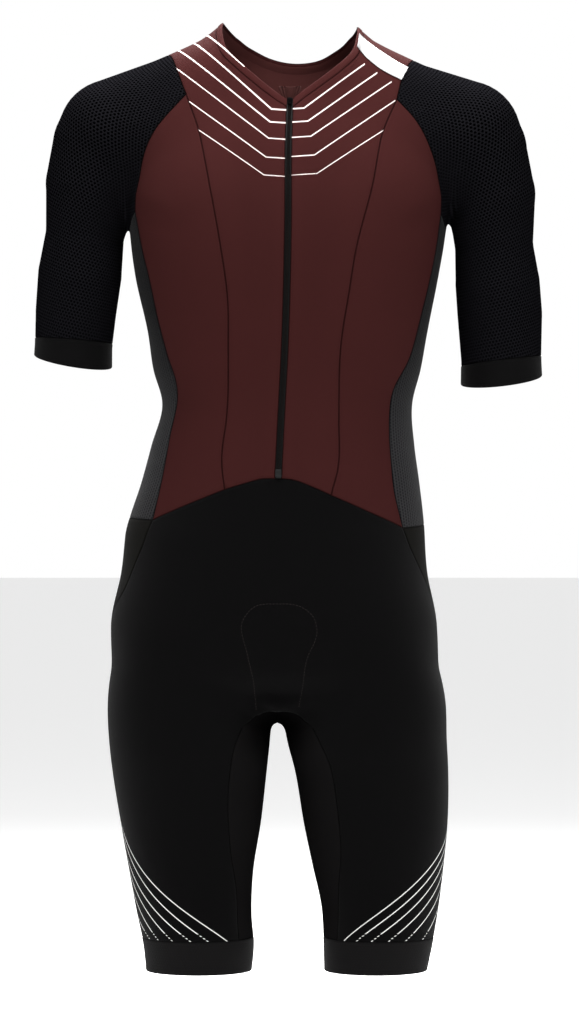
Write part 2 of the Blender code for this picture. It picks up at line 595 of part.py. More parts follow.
def open_edges(triangles):
    """Edges that only one triangle has, each in that triangle's direction."""
    edges = np.vstack([triangles[:, [0, 1]], triangles[:, [1, 2]], triangles[:, [2, 0]]])
    known = set(map(tuple, edges))
    return np.array([edge for edge in known if edge[::-1] not in known])


def cloth(name, grids, colour, inside=CLOTH, outside=0.0, pull=SEAM_GAP / 2):
    """A solid of cloth: grids on the form, with a wall from `outside` above it to `inside` below it.

    Each place on an open edge is first pulled into the piece by half of the seam gap, square to both of
    its edges.
    """
    places, triangles = knit(grids)
    normal = outward(places)
    edges = np.array(sorted(map(tuple, open_edges(triangles))))
    heading = unit(places[edges[:, 1]] - places[edges[:, 0]])
    inwards = unit(np.cross(normal[edges[:, 0]] + normal[edges[:, 1]], heading))
    total = np.zeros_like(places)
    np.add.at(total, edges[:, 0], inwards)
    np.add.at(total, edges[:, 1], inwards)
    square = (total**2).sum(1)[:, None]
    on_edge = square[:, 0] > 1e-9
    places[on_edge] += pull * (2 * total / np.maximum(square, 0.6))[on_edge]
    count = len(places)
    both = np.vstack([places + outside * normal, places - inside * normal])
    rim = np.vstack([np.column_stack([edges[:, 1], edges[:, 0], edges[:, 0] + count]),
                     np.column_stack([edges[:, 1], edges[:, 0] + count, edges[:, 1] + count])])
    faces = np.vstack([triangles, triangles[:, ::-1] + count, rim])
    mesh = bpy.data.meshes.new(name)
    mesh.from_pydata(both.tolist(), [], faces.tolist())
    mesh.validate()
    return add_object(name, mesh, colour)


def make_front(seams, side, wearer):
    """Chest panels of one side: beside the zip, and outside the princess seam.

    The first column of squares beside the zip is as wide as the zip tape that lies behind it.
    """
    seam = seams[side]
    top = np.vstack([seam["neck"], seam["shoulder"][1:]])
    bottom = seam["waist_middle"][::-1]
    rim = zip_place(np.linspace(top[1, 2], bottom[1, 2], len(seam["zip"])), side * ZIP_TAPE_WIDTH)
    rim[0], rim[-1] = top[1], bottom[1]
    rest = patch(rim, np.vstack([seam["sleeve_upper"], seam["princess"][1:]]), top[1:], bottom[1:],
                 trunk_middle)
    centre = np.concatenate([seam["zip"][None], rest])
    cloth(f"front_centre_{wearer}", [centre], "maroon")
    flank = patch(seam["princess"], seam["side"], seam["sleeve_lower"], seam["waist_side"][::-1],
                  trunk_middle)
    cloth(f"front_side_{wearer}", [flank], "maroon")
    return centre


def make_back(seams):
    """The back, in one piece from shoulder to shoulder and down to the waist."""
    edge = {side: np.vstack([seams[side]["sleeve_back"][::-1], seams[side]["back_side"][1:]])
            for side in (-1, 1)}
    top = np.vstack([seams[-1]["shoulder"][::-1], seams[-1]["neck_back"][1:],
                     seams[1]["shoulder"][1:]])
    bottom = np.vstack([seams[-1]["waist_back"], seams[1]["waist_back"][-2::-1]])
    cloth("back", [patch(edge[-1], edge[1], top, bottom, back_middle)], "maroon")


def make_side_panel(seams, side, wearer):
    """Knitted panel from the underarm to the hip, round the side of the trunk."""
    seam = seams[side]
    panel = patch(seam["side"], seam["back_side"], seam["underarm"], seam["waist_hip"], trunk_middle)
    cloth(f"side_panel_{wearer}", [panel], "knit")


def line_of(places, pieces):
    """A smooth line in the plane y = 0 through places given by x and z, in equal pieces."""
    places = np.array([(x, 0, z) for x, z in places])
    run = np.concatenate([[0], np.cumsum(np.linalg.norm(np.diff(places, axis=0), axis=1))])
    return smooth(np.linspace(0, run[-1], pieces + 1), run, places)


def make_sleeve(seams, side, wearer):
    """Short sleeve from the sleeve seam to the cuff seam, and its cuff.

    Ring r is an ellipse on the chord from the sleeve's outer line to its inner line, as deep as the
    arm. The first ring's places keep the angles of the sleeve seam, and the last has even ones. What the
    first ring misses of the seam is added to every ring in shares that fall with the square of the way.
    """
    seam = seams[side]
    armhole = np.vstack([seam["sleeve_upper"], seam["sleeve_lower"][1:], seam["underarm"][1:],
                         seam["sleeve_back"][1:]])
    outer = line_of(SLEEVE_OUTER[side], SLEEVE_ROWS)
    inner = line_of(SLEEVE_INNER[side], SLEEVE_ROWS)
    arm = ARM[side]["rows"]
    middle = (outer + inner) / 2
    middle[:, 1] = np.interp(-middle[:, 2], -arm[:, 2], arm[:, 1])
    across = (outer - inner) / 2
    depth = ARM_DEPTH * np.interp(-middle[:, 2], -arm[:, 2], arm[:, 3])
    from_middle = armhole - middle[0]
    angle = np.unwrap(np.arctan2(from_middle[:, 1] / depth[0],
                                 (from_middle * across[0]).sum(1) / (across[0] ** 2).sum()))
    angle[-1] = angle[0] + np.copysign(2 * np.pi, angle[-1] - angle[0])
    even = np.linspace(angle[0], angle[-1], len(angle))
    share = np.linspace(0, 1, SLEEVE_ROWS + 1)
    turned = angle[:, None] + (even - angle)[:, None] * share
    rings = middle + np.cos(turned)[:, :, None] * across
    rings[:, :, 1] += np.sin(turned) * depth
    rings = rings + (1 - share[None, :, None]) ** 2 * (armhole - rings[:, 0])[:, None]
    rings[:, 1:] = settle(rings[:, 1:])
    rings[-1] = rings[0]
    rings = relax(rings, 40, closed=True)
    cloth(f"sleeve_{wearer}", [rings], "mesh")
    cuff_seam = rings[:, -1]
    edge = CUFF_EDGE[side]
    free = cuff_seam.copy()
    for _ in range(4):
        inward = (edge["x"] - free[:, 0]) * side
        forward = arm[-1, 1] - free[:, 1]
        free[:, 2] = edge["z"] - inward * edge["inward"] - forward * edge["forward"]
        free = settle(free)
    cuff = np.stack([cuff_seam, (cuff_seam + free) / 2, free], axis=1)
    cuff[:, 1] = settle(cuff[:, 1])
    cuff[-1] = cuff[0]
    cloth(f"cuff_{wearer}", [cuff], "band", BAND_CLOTH - PROUD, PROUD)


def make_neck_binding(seams):
    """Folded strip that finishes the neckline, from the zip round the back to the zip."""
    seam = np.vstack([seams[-1]["neck"], seams[-1]["neck_back"][1:], seams[1]["neck"][-2::-1]])
    heading = np.gradient(seam, axis=0)
    upward = unit(np.cross(heading, outward(seam)))
    edge = seam + BINDING_WIDTH * upward
    for end, side in ((0, -1), (-1, 1)):
        edge[end] = zip_place(ZIP_LINE[0][1], side * ZIP_WIDTH / 2)[0]
    edge[1:-1] = settle(edge[1:-1])
    cloth("neck_binding", [np.stack([seam, edge], axis=1)], "maroon", BINDING_CLOTH - PROUD, PROUD)


def make_zip(centres):
    """Two tapes behind the chest panels, the chain between the panels, its slider and its stop."""
    middle = zip_place(centres[-1][0, :, 2])
    depth = CLOTH + SEAM_GAP
    for side, wearer in ((-1, "right"), (1, "left")):
        cloth(f"zip_tape_{wearer}", [np.concatenate([middle[None], centres[side][:2]])], "zip",
              depth + ZIP_TAPE_CLOTH, -depth)
    line = np.vstack([zip_place(ZIP_LINE[0][1]), middle])
    normal = outward(line)
    sideways = unit(np.cross(np.gradient(line, axis=0), normal))
    half = ZIP_WIDTH / 2 - SEAM_GAP / 2
    profile = [(-half, -CLOTH), (half, -CLOTH), (half, 0.3 * ZIP_RAISED), (0.55 * half, ZIP_RAISED),
               (-0.55 * half, ZIP_RAISED), (-half, 0.3 * ZIP_RAISED)]
    rings = [line + across * sideways + above * normal for across, above in profile]
    chain = bmesh.new()
    loops = [[chain.verts.new(ring[row]) for ring in rings] for row in range(len(line))]
    for upper, lower in zip(loops[:-1], loops[1:]):
        for corner in range(len(profile)):
            following = (corner + 1) % len(profile)
            chain.faces.new((upper[corner], upper[following], lower[following], lower[corner]))
    chain.faces.new(loops[0])
    chain.faces.new(loops[-1][::-1])
    bmesh.ops.triangulate(chain, faces=chain.faces)
    bmesh.ops.recalc_face_normals(chain, faces=chain.faces)
    mesh = bpy.data.meshes.new("zip_coil")
    chain.to_mesh(mesh)
    chain.free()
    add_object("zip_coil", mesh, "zip")
    make_tab("zip_slider", zip_place(ZIP_LINE[0][1] - 0.003)[0], SLIDER, 0.0013)
    make_tab("zip_stop", zip_place(ZIP_FOOT + STOP[1] / 2 + 0.0005)[0], STOP, 0.0005)


def make_tab(name, place, size, bevel):
    """A small rounded block that lies on the chain at a place: width, height, thickness."""
    width, height, thickness = size
    block = bmesh.new()
    bmesh.ops.create_cube(block, size=1.0)
    bmesh.ops.scale(block, vec=(width, thickness, height), verts=block.verts)
    bmesh.ops.bevel(block, geom=block.edges[:], offset=bevel, segments=2, affect="EDGES")
    bmesh.ops.triangulate(block, faces=block.faces)
    mesh = bpy.data.meshes.new(name)
    block.to_mesh(mesh)
    block.free()
    normal = Vector(outward(place[None])[0])
    mesh.transform(normal.to_track_quat("-Y", "Z").to_matrix().to_4x4())
    centre = Vector(place) + normal * (ZIP_RAISED + SEAM_GAP + thickness / 2)
    mesh.transform(Matrix.Translation(centre))
    add_object(name, mesh, "metal")


def make_shoulder_tape():
    """Plain white tape that lies on the wearer's left shoulder."""
    upper, lower = (curve(on_front(SHOULDER_TAPE[edge]), 6) for edge in ("upper", "lower"))
    grid = np.stack([upper, (upper + lower) / 2, lower], axis=1)
    grid[:, 1] = settle(grid[:, 1])
    cloth("shoulder_tape", [grid], "white", -SHOULDER_TAPE_LIFT,
          SHOULDER_TAPE_LIFT + SHOULDER_TAPE_CLOTH, pull=0.0)


def make_shorts(seams):
    """Front of the shorts over both thighs, the two backs, the inner legs and the leg bands."""
    fronts = []
    for side, wearer in ((-1, "right"), (1, "left")):
        seam = seams[side]
        waist = np.vstack([seam["waist_side"], seam["waist_middle"][1:]])
        waist[-1] = seam["front_middle"][0]
        inner_edge = np.vstack([seam["front_middle"], seam["inner_front"][1:]])
        fronts.append(patch(seam["hip"], inner_edge, waist, seam["band_front"],
                            shorts_middle(side)))
        waist = np.vstack([seam["waist_hip"], seam["waist_back"][1:]])
        inner_edge = np.vstack([seam["back_middle"], seam["inner_back"][1:]])
        back = patch(seam["hip"], inner_edge, waist, seam["band_back"], shorts_middle(side))
        cloth(f"shorts_back_{wearer}", [back], "black")
        inner = patch(seam["inner_front"], seam["inner_back"], seam["crotch"], seam["band_inner"],
                      shorts_middle(side))
        cloth(f"inner_leg_{wearer}", [inner], "black")
        ring = np.vstack([seam["band_front"], seam["band_inner"][1:], seam["band_back"][-2::-1]])
        centre = np.column_stack([np.repeat(middle_of(LEG[side], [HEM_Z]), len(ring), 0),
                                  np.full(len(ring), HEM_Z)])
        heading = ring - centre
        heading[:, 2] = 0
        hem = meet(centre, heading, reach=0.12)
        hem[-1] = hem[0]
        half_way = settle((ring + hem) / 2)
        half_way[-1] = half_way[0]
        cloth(f"leg_band_{wearer}", [np.stack([ring, half_way, hem], axis=1)], "band",
              BAND_CLOTH - PROUD, PROUD)
    cloth("shorts_front", fronts, "black")


def main():
    for old in list(bpy.data.objects):
        bpy.data.objects.remove(old)
    seams = lay_seams()
    centres = {side: make_front(seams, side, wearer) for side, wearer in ((-1, "right"), (1, "left"))}
    make_back(seams)
    for side, wearer in ((-1, "right"), (1, "left")):
        make_side_panel(seams, side, wearer)
        make_sleeve(seams, side, wearer)
    make_neck_binding(seams)
    make_zip(centres)
    make_shoulder_tape()
    make_shorts(seams)


main()
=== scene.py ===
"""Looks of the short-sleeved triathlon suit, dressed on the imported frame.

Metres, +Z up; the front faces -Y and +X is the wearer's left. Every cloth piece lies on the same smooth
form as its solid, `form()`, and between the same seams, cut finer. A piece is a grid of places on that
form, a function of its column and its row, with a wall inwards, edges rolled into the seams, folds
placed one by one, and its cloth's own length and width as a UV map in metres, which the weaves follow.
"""

import bpy
import numpy as np
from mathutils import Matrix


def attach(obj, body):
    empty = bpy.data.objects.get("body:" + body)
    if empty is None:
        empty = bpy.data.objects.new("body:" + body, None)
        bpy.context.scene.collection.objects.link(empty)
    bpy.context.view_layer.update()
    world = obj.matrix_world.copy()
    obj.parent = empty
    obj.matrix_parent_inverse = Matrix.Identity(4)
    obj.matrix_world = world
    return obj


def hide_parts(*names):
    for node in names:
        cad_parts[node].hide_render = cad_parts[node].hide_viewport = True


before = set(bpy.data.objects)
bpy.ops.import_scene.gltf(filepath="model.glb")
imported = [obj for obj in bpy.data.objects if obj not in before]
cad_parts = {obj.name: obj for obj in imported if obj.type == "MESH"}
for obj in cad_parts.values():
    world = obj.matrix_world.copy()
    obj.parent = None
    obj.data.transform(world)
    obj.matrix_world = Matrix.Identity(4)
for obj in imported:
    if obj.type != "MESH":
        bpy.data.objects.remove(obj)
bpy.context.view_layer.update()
SIDES = ((-1, "right"), (1, "left"))  # sign of x and the wearer's side

# ---- cloth and trims, as in the solids -----------------------------------------------------------
CLOTH = 0.0013          # wall of the body, shorts and sleeve cloth
BAND_CLOTH = 0.0018     # wall of the cuffs and the leg bands
PROUD = 0.0003          # how far a doubled band or a binding stands out past the single cloth
SEAM_GAP = 0.0003
BINDING_WIDTH = 0.0075
ZIP_WIDTH = 0.0062
ZIP_RAISED = 0.0011     # how far the chain stands out of the chest
ZIP_TAPE_WIDTH = 0.013
ZIP_TAPE_CLOTH = 0.001
SHOULDER_TAPE_LIFT = 0.0007
SHOULDER_TAPE_CLOTH = 0.001
SLIDER = (0.00688, 0.0092, 0.0030)  # width, height, thickness
SLIDER_DROP = 0.0045    # from the top of the chain to the slider's middle
STOP = (0.0062, 0.0085, 0.0013)

# ---- what the looks add --------------------------------------------------------------------------
FINE = 6                      # parts that each grid square of the solids is cut into, each way
ROLL_LINES = (0.0004, 0.0011)  # grid lines beside an open edge
ROLL_DEPTH = 0.00065          # how deep an edge rolls down into its seam

# ---- grid counts: pieces that share a seam share its places --------------------------------------
NECK_FRONT = 5     # neck seam, zip to shoulder, each side
SHOULDER = 3       # shoulder seam
NECK_BACK = 8      # neck seam across the back
SLEEVE_UPPER = 3   # sleeve seam, shoulder to the top of the princess seam
SLEEVE_LOWER = 6   # sleeve seam on to the side panel
UNDERARM = 6       # sleeve seam under the arm
SLEEVE_BACK = 8    # sleeve seam up the back
BODY = 14          # princess and side seams, down to the waist
SLEEVE_ROWS = 12
SHORTS_UPPER = 9   # waist to crotch
SHORTS_LOWER = 9   # crotch to leg band
CROTCH = 6         # across under the crotch


def table(columns, rows):
    """Rows of numbers, kept with the names of their columns."""
    return {"columns": columns.split(), "rows": np.array(rows, float)}


# ---- the form: level sections --------------------------------------------------------------------
# z, middle in x and y, half width, reach to the front and to the back of the middle, and power:
# 2 is an ellipse, more is squarer.
TRUNK = table("z x y half front back power", [
    (0.000, 0.0000, 0.015, 0.0500, 0.045, 0.055, 2.0),
    (-0.030, 0.0000, 0.010, 0.0940, 0.062, 0.070, 2.0),
    (-0.060, 0.0000, 0.008, 0.1240, 0.078, 0.082, 2.1),
    (-0.100, 0.0000, 0.004, 0.1480, 0.098, 0.096, 2.2),
    (-0.150, -0.0009, 0.000, 0.1604, 0.112, 0.108, 2.3),
    (-0.200, -0.0019, 0.000, 0.1570, 0.118, 0.112, 2.3),
    (-0.235, -0.0026, 0.000, 0.1517, 0.117, 0.109, 2.3),
    (-0.294, -0.0019, 0.000, 0.1394, 0.111, 0.099, 2.25),
    (-0.330, -0.0025, 0.000, 0.1335, 0.106, 0.091, 2.2),
    (-0.363, -0.0022, 0.000, 0.1250, 0.103, 0.086, 2.2),
    (-0.406, -0.0066, 0.000, 0.1315, 0.103, 0.088, 2.2),
    (-0.441, -0.0090, 0.000, 0.1386, 0.105, 0.094, 2.2),
    (-0.486, -0.0135, 0.000, 0.1481, 0.106, 0.106, 2.25),
    (-0.532, -0.0142, 0.000, 0.1506, 0.106, 0.118, 2.3),
    (-0.588, -0.0150, 0.002, 0.1570, 0.104, 0.122, 2.35),
    (-0.612, -0.0140, 0.003, 0.1500, 0.102, 0.119, 2.3),
    (-0.634, -0.0135, 0.005, 0.1350, 0.096, 0.110, 2.2),
    (-0.652, -0.0125, 0.008, 0.1120, 0.083, 0.094, 2.1),
])
LEG = {
    -1: table("z x y half front back power", [
        (-0.500, -0.0820, 0.006, 0.0640, 0.088, 0.092, 2.3),
        (-0.600, -0.0930, 0.008, 0.0797, 0.103, 0.108, 2.5),
        (-0.660, -0.0991, 0.008, 0.0827, 0.099, 0.104, 2.4),
        (-0.706, -0.1001, 0.008, 0.0800, 0.092, 0.095, 2.3),
        (-0.738, -0.0999, 0.009, 0.0764, 0.085, 0.085, 2.15),
        (-0.779, -0.0989, 0.010, 0.0708, 0.078, 0.077, 2.1),
        (-0.834, -0.0983, 0.011, 0.0618, 0.071, 0.069, 2.05),
        (-0.878, -0.0949, 0.011, 0.0571, 0.065, 0.063, 2.0),
        (-0.903, -0.0912, 0.011, 0.0554, 0.062, 0.060, 2.0),
        (-0.940, -0.0909, 0.011, 0.0518, 0.058, 0.057, 2.0),
    ]),
    1: table("z x y half front back power", [
        (-0.500, 0.0520, 0.006, 0.0560, 0.088, 0.092, 2.3),
        (-0.600, 0.0650, 0.008, 0.0765, 0.103, 0.108, 2.5),
        (-0.660, 0.0740, 0.008, 0.0820, 0.099, 0.104, 2.4),
        (-0.700, 0.0775, 0.008, 0.0800, 0.093, 0.096, 2.3),
        (-0.729, 0.0820, 0.009, 0.0770, 0.086, 0.086, 2.15),
        (-0.786, 0.0865, 0.010, 0.0717, 0.078, 0.077, 2.1),
        (-0.825, 0.0888, 0.011, 0.0658, 0.073, 0.071, 2.05),
        (-0.871, 0.0907, 0.011, 0.0582, 0.066, 0.064, 2.0),
        (-0.894, 0.0895, 0.011, 0.0556, 0.062, 0.060, 2.0),
        (-0.940, 0.0855, 0.011, 0.0503, 0.058, 0.057, 2.0),
    ]),
}
NECK = table("z x y half front back power", [
    (-0.090, 0.001, 0.022, 0.040, 0.046, 0.042, 2.0),
    (0.060, 0.001, 0.012, 0.046, 0.048, 0.044, 2.0),
])

# ---- the form: shoulder and arm beams, round across and ARM_DEPTH times as deep in y -------------
ARM_DEPTH = 1.12
ARM = {
    -1: table("x y z radius", [
        (-0.0463, 0.014, -0.0361, 0.0498),
        (-0.1158, 0.010, -0.0667, 0.0503),
        (-0.1770, 0.008, -0.0932, 0.0545),
        (-0.1874, 0.009, -0.1043, 0.0496),
        (-0.1979, 0.012, -0.1431, 0.0465),
        (-0.2054, 0.016, -0.1948, 0.0393),
        (-0.2106, 0.021, -0.2336, 0.0419),
        (-0.2147, 0.026, -0.2696, 0.0405),
        (-0.2174, 0.030, -0.3050, 0.0387),
        (-0.2190, 0.034, -0.3450, 0.0400),
    ]),
    1: table("x y z radius", [
        (0.0472, 0.014, -0.0415, 0.0508),
        (0.1172, 0.010, -0.0719, 0.0504),
        (0.1765, 0.008, -0.0955, 0.0553),
        (0.1871, 0.009, -0.1099, 0.0507),
        (0.2021, 0.012, -0.1536, 0.0444),
        (0.2052, 0.016, -0.2056, 0.0391),
        (0.2091, 0.021, -0.2432, 0.0423),
        (0.2115, 0.026, -0.2732, 0.0425),
        (0.2131, 0.030, -0.320, 0.0401),
        (0.2140, 0.034, -0.360, 0.0415),
    ]),
}

ROUNDED_END = 0.028     # how far a row of level sections rounds over past its ends
SHOULDER_BLEND = 0.050  # width over which two forms run together
NECK_BLEND = 0.026
ARM_BLEND = 0.008       # at the armpit
HIP_BLEND = 0.030
LEG_BLEND = 0.012       # at the crotch
HIP_RISE = (-0.700, -0.610)       # heights between which the crotch's blend becomes the hip's
SHOULDER_RISE = (-0.195, -0.075)  # heights between which the armpit's blend becomes the shoulder's

# ---- seams: places by x and z as seen from the front or the back ---------------------------------
ZIP_LINE = [(0.0005, -0.0650), (-0.0010, -0.110), (-0.0015, -0.190), (-0.0045, -0.308),
            (-0.0083, -0.382), (-0.0112, -0.4400)]
ZIP_FOOT = -0.4392
NECK_SEAM_Z = -0.0735  # at the zip
FRONT = {
    -1: {
        "neck": [(-0.0165, -0.0640), (-0.0340, -0.0500), (-0.0520, -0.0340), (-0.0665, -0.0190)],
        "sleeve_upper": [(-0.1180, -0.0180), (-0.1104, -0.0373), (-0.1022, -0.0593)],
        "sleeve_lower": [(-0.1022, -0.0593), (-0.1179, -0.0761), (-0.1329, -0.0945), (-0.1460, -0.1264),
                         (-0.1509, -0.1514), (-0.1529, -0.1740)],
        "princess": [(-0.1022, -0.0593), (-0.0890, -0.0983), (-0.0777, -0.1553), (-0.0668, -0.2163),
                     (-0.0610, -0.2581), (-0.0600, -0.3154), (-0.0620, -0.3818), (-0.0665, -0.4220),
                     (-0.0635, -0.4500)],
        "side": [(-0.1529, -0.1740), (-0.1478, -0.2021), (-0.1388, -0.2408), (-0.1289, -0.2862),
                 (-0.1210, -0.3159), (-0.1135, -0.3377), (-0.1145, -0.3810), (-0.1209, -0.4127),
                 (-0.1350, -0.4798)],
        "waist_side": [(-0.1350, -0.4798), (-0.1060, -0.4670), (-0.0768, -0.4552), (-0.0635, -0.4500)],
        "waist_middle": [(-0.0635, -0.4500), (-0.0386, -0.4425), (-0.0278, -0.4397),
                         (-0.0145, ZIP_FOOT)],
        "hip": [(-0.1350, -0.4798), (-0.1430, -0.5005), (-0.1526, -0.5233), (-0.1650, -0.5513)],
        "inner_leg": [(-0.0459, -0.6820), (-0.0537, -0.7015), (-0.0597, -0.7371), (-0.0585, -0.8072),
                      (-0.0525, -0.8500), (-0.0502, -0.8975)],
    },
    1: {
        "neck": [(0.0150, -0.0640), (0.0310, -0.0520), (0.0490, -0.0380), (0.0655, -0.0220)],
        "sleeve_upper": [(0.1215, -0.0225), (0.1110, -0.0445), (0.1061, -0.0643)],
        "sleeve_lower": [(0.1061, -0.0643), (0.1239, -0.0840), (0.1389, -0.1121), (0.1469, -0.1395),
                         (0.1500, -0.1769)],
        "princess": [(0.1061, -0.0643), (0.0919, -0.0983), (0.0806, -0.1552), (0.0649, -0.2162),
                     (0.0581, -0.2581), (0.0513, -0.2999), (0.0484, -0.3818), (0.0480, -0.4250),
                     (0.0406, -0.4556)],
        "side": [(0.1500, -0.1769), (0.1421, -0.2274), (0.1321, -0.2701), (0.1191, -0.3187),
                 (0.1025, -0.3517), (0.0985, -0.3813), (0.1000, -0.4197), (0.1029, -0.4493),
                 (0.1119, -0.4877)],
        "waist_side": [(0.1119, -0.4877), (0.0780, -0.4719), (0.0406, -0.4556)],
        "waist_middle": [(0.0406, -0.4556), (0.0225, -0.4475), (0.0034, -0.4406), (-0.0079, ZIP_FOOT)],
        "hip": [(0.1119, -0.4877), (0.1180, -0.5040), (0.1250, -0.5194), (0.1370, -0.5456)],
        "inner_leg": [(0.0222, -0.6820), (0.0360, -0.7114), (0.0459, -0.7530), (0.0509, -0.8069),
                      (0.0485, -0.8500), (0.0472, -0.8975)],
    },
}
FRONT_MIDDLE = [(-0.0112, ZIP_FOOT), (-0.0120, -0.560), (-0.0123, -0.620), (-0.0123, -0.670)]
BACK = {
    -1: {
        "sleeve": [(-0.1500, -0.1650), (-0.1420, -0.1300), (-0.1330, -0.0900), (-0.1260, -0.0500)],
        "side": [(-0.1500, -0.1650), (-0.1430, -0.2200), (-0.1270, -0.2900), (-0.1100, -0.3500),
                 (-0.1110, -0.4000), (-0.1230, -0.4740)],
        "inner_leg": [(-0.0459, -0.6820), (-0.0560, -0.7100), (-0.0610, -0.7500), (-0.0600, -0.8100),
                      (-0.0545, -0.8500), (-0.0520, -0.8975)],
    },
    1: {
        "sleeve": [(0.1480, -0.1700), (0.1410, -0.1330), (0.1330, -0.0930), (0.1270, -0.0530)],
        "side": [(0.1480, -0.1700), (0.1400, -0.2250), (0.1220, -0.2950), (0.1020, -0.3550),
                 (0.0980, -0.4050), (0.1030, -0.4800)],
        "inner_leg": [(0.0222, -0.6820), (0.0350, -0.7100), (0.0460, -0.7500), (0.0505, -0.8100),
                      (0.0490, -0.8500), (0.0480, -0.8975)],
    },
}
NECK_BACK_SEAM = [(-0.0430, -0.0070), (-0.0225, -0.0170), (0.0056, -0.0225), (0.0340, -0.0185),
                  (0.0530, -0.0085)]
BACK_MIDDLE = [(-0.0095, -0.465), (-0.0120, -0.540), (-0.0123, -0.600), (-0.0123, -0.670)]
# Places by y and z, as seen from the wearer's side: the shorts' side seam below the hip.
THIGH_SIDE = [(-0.010, -0.578), (0.010, -0.610), (0.021, -0.655), (0.027, -0.710), (0.028, -0.780),
              (0.026, -0.840), (0.024, -0.8975)]
# Places by x and y, as seen from above: the ends of the shoulder seam.
SHOULDER_SEAM = {-1: [(-0.0725, 0.006), (-0.1225, 0.010)], 1: [(0.0735, 0.006), (0.1255, 0.010)]}
UNDERARM_DIP = {-1: [(-0.1585, -0.020, -0.188), (-0.1610, 0.010, -0.194), (-0.1570, 0.038, -0.184)],
                1: [(0.1555, -0.020, -0.191), (0.1580, 0.010, -0.197), (0.1545, 0.038, -0.187)]}
CROTCH_Y = (-0.045, 0.055)

# ---- sleeves, cuffs and hems ---------------------------------------------------------------------
# The sleeve's outer and inner lines as seen from the front, from the sleeve seam to the cuff seam.
SLEEVE_OUTER = {
    -1: [(-0.1225, -0.017), (-0.1760, -0.035), (-0.2055, -0.048), (-0.2315, -0.079), (-0.2415, -0.133),
         (-0.2440, -0.186), (-0.2480, -0.240), (-0.2545, -0.2965)],
    1: [(0.1255, -0.020), (0.1720, -0.036), (0.1995, -0.046), (0.2255, -0.075), (0.2400, -0.133),
        (0.2440, -0.195), (0.2500, -0.250), (0.2540, -0.3150)],
}
SLEEVE_INNER = {
    -1: [(-0.1610, -0.194), (-0.1690, -0.225), (-0.1730, -0.265), (-0.1785, -0.3030)],
    1: [(0.1580, -0.197), (0.1665, -0.230), (0.1690, -0.270), (0.1720, -0.3250)],
}
# The cuff's free edge: its middle in x and z, and how far it falls per metre inwards and to the front.
CUFF_EDGE = {-1: {"x": -0.2180, "z": -0.3200, "inward": 0.17, "forward": 0.16},
             1: {"x": 0.2135, "z": -0.3390, "inward": 0.12, "forward": 0.16}}
HEM_Z = -0.9310
# The tape's neck end is painted grey: painted shade of its fold.
TAPE_FOLD_SHADE = (0.0690, 0.0770)  # x of the shoulder tape's end and of where its fold has faded
SHOULDER_TAPE = {  # x and z, as seen from the front
    "upper": [(0.0690, 0.0042), (0.0900, -0.0142), (0.1070, -0.0255), (0.1175, -0.0313)],
    "lower": [(0.0668, -0.0105), (0.0730, -0.0190), (0.0903, -0.0340), (0.1105, -0.0446)],
}


# ---- reading the form ----------------------------------------------------------------------------
def smooth(at, places, values):
    """Cubic curve through values given at rising places, each row of values read at once."""
    step = np.diff(places)[:, None]
    chord = np.diff(values, axis=0) / step
    slope = np.vstack([chord[:1], (chord[:-1] * step[1:] + chord[1:] * step[:-1])
                       / (step[1:] + step[:-1]), chord[-1:]])
    at = np.clip(at, places[0], places[-1])
    row = np.clip(np.searchsorted(places, at, side="right") - 1, 0, len(places) - 2)
    width = step[row]
    t = ((at - places[row])[:, None]) / width
    return ((2 * t**3 - 3 * t**2 + 1) * values[row] + (t**3 - 2 * t**2 + t) * width * slope[row]
            + (3 * t**2 - 2 * t**3) * values[row + 1] + (t**3 - t**2) * width * slope[row + 1])


def section(z, sections):
    """The columns of a table of level sections, read at heights z."""
    rows = sections["rows"][np.argsort(sections["rows"][:, 0])]
    return smooth(z, rows[:, 0], rows[:, 1:]).T, rows[0, 0], rows[-1, 0]


def level_form(points, sections):
    """How far points lie outside a body of level sections, measured from each section's middle."""
    (x, y, half, front, back, power), low, high = section(points[:, 2], sections)
    across = points[:, 0] - x
    along = points[:, 1] - y
    past = points[:, 2] - np.clip(points[:, 2], low, high)
    depth = np.where(along < 0, front, back)
    ring = (np.abs(across / half) ** power + np.abs(along / depth) ** power) ** (1 / power)
    ring = np.sqrt(ring**2 + (past / ROUNDED_END) ** 2) + 1e-9
    return np.sqrt(across**2 + along**2 + past**2) * (1 - 1 / ring)


def beam_form(points, beam):
    """How far points lie outside a row of balls joined by straight cones, deeper in y than across."""
    squash = np.array([1.0, 1 / ARM_DEPTH, 1.0])
    centres = beam["rows"][:, :3] * squash
    radii = beam["rows"][:, 3]
    run = np.diff(centres, axis=0)
    away = (points * squash)[:, None, :] - centres[None, :-1, :]
    share = np.clip((away * run).sum(2) / (run**2).sum(1), 0, 1)
    gap = np.linalg.norm(away - share[:, :, None] * run, axis=2) - (radii[:-1] + share * np.diff(radii))
    return gap.min(axis=1)


def blend(one, other, width):
    """The nearer of two distances, rounded over where they are within the width of each other."""
    near = np.maximum(width - np.abs(one - other), 0)
    return np.minimum(one, other) - near**2 / (4 * width)


def eased(value, low, high):
    """A share that rises softly from 0 at low to 1 at high."""
    share = np.clip((value - low) / (high - low), 0, 1)
    return share * share * (3 - 2 * share)


def form(points):
    """How far points lie outside the suit's outer face: below 0 inside it."""
    body = level_form(points, TRUNK)
    body = blend(body, level_form(points, NECK), NECK_BLEND)
    hip = LEG_BLEND + (HIP_BLEND - LEG_BLEND) * eased(points[:, 2], *HIP_RISE)
    shoulder = ARM_BLEND + (SHOULDER_BLEND - ARM_BLEND) * eased(points[:, 2], *SHOULDER_RISE)
    for side in (-1, 1):
        body = blend(body, level_form(points, LEG[side]), hip)
    for side in (-1, 1):
        body = blend(body, beam_form(points, ARM[side]), shoulder)
    return body


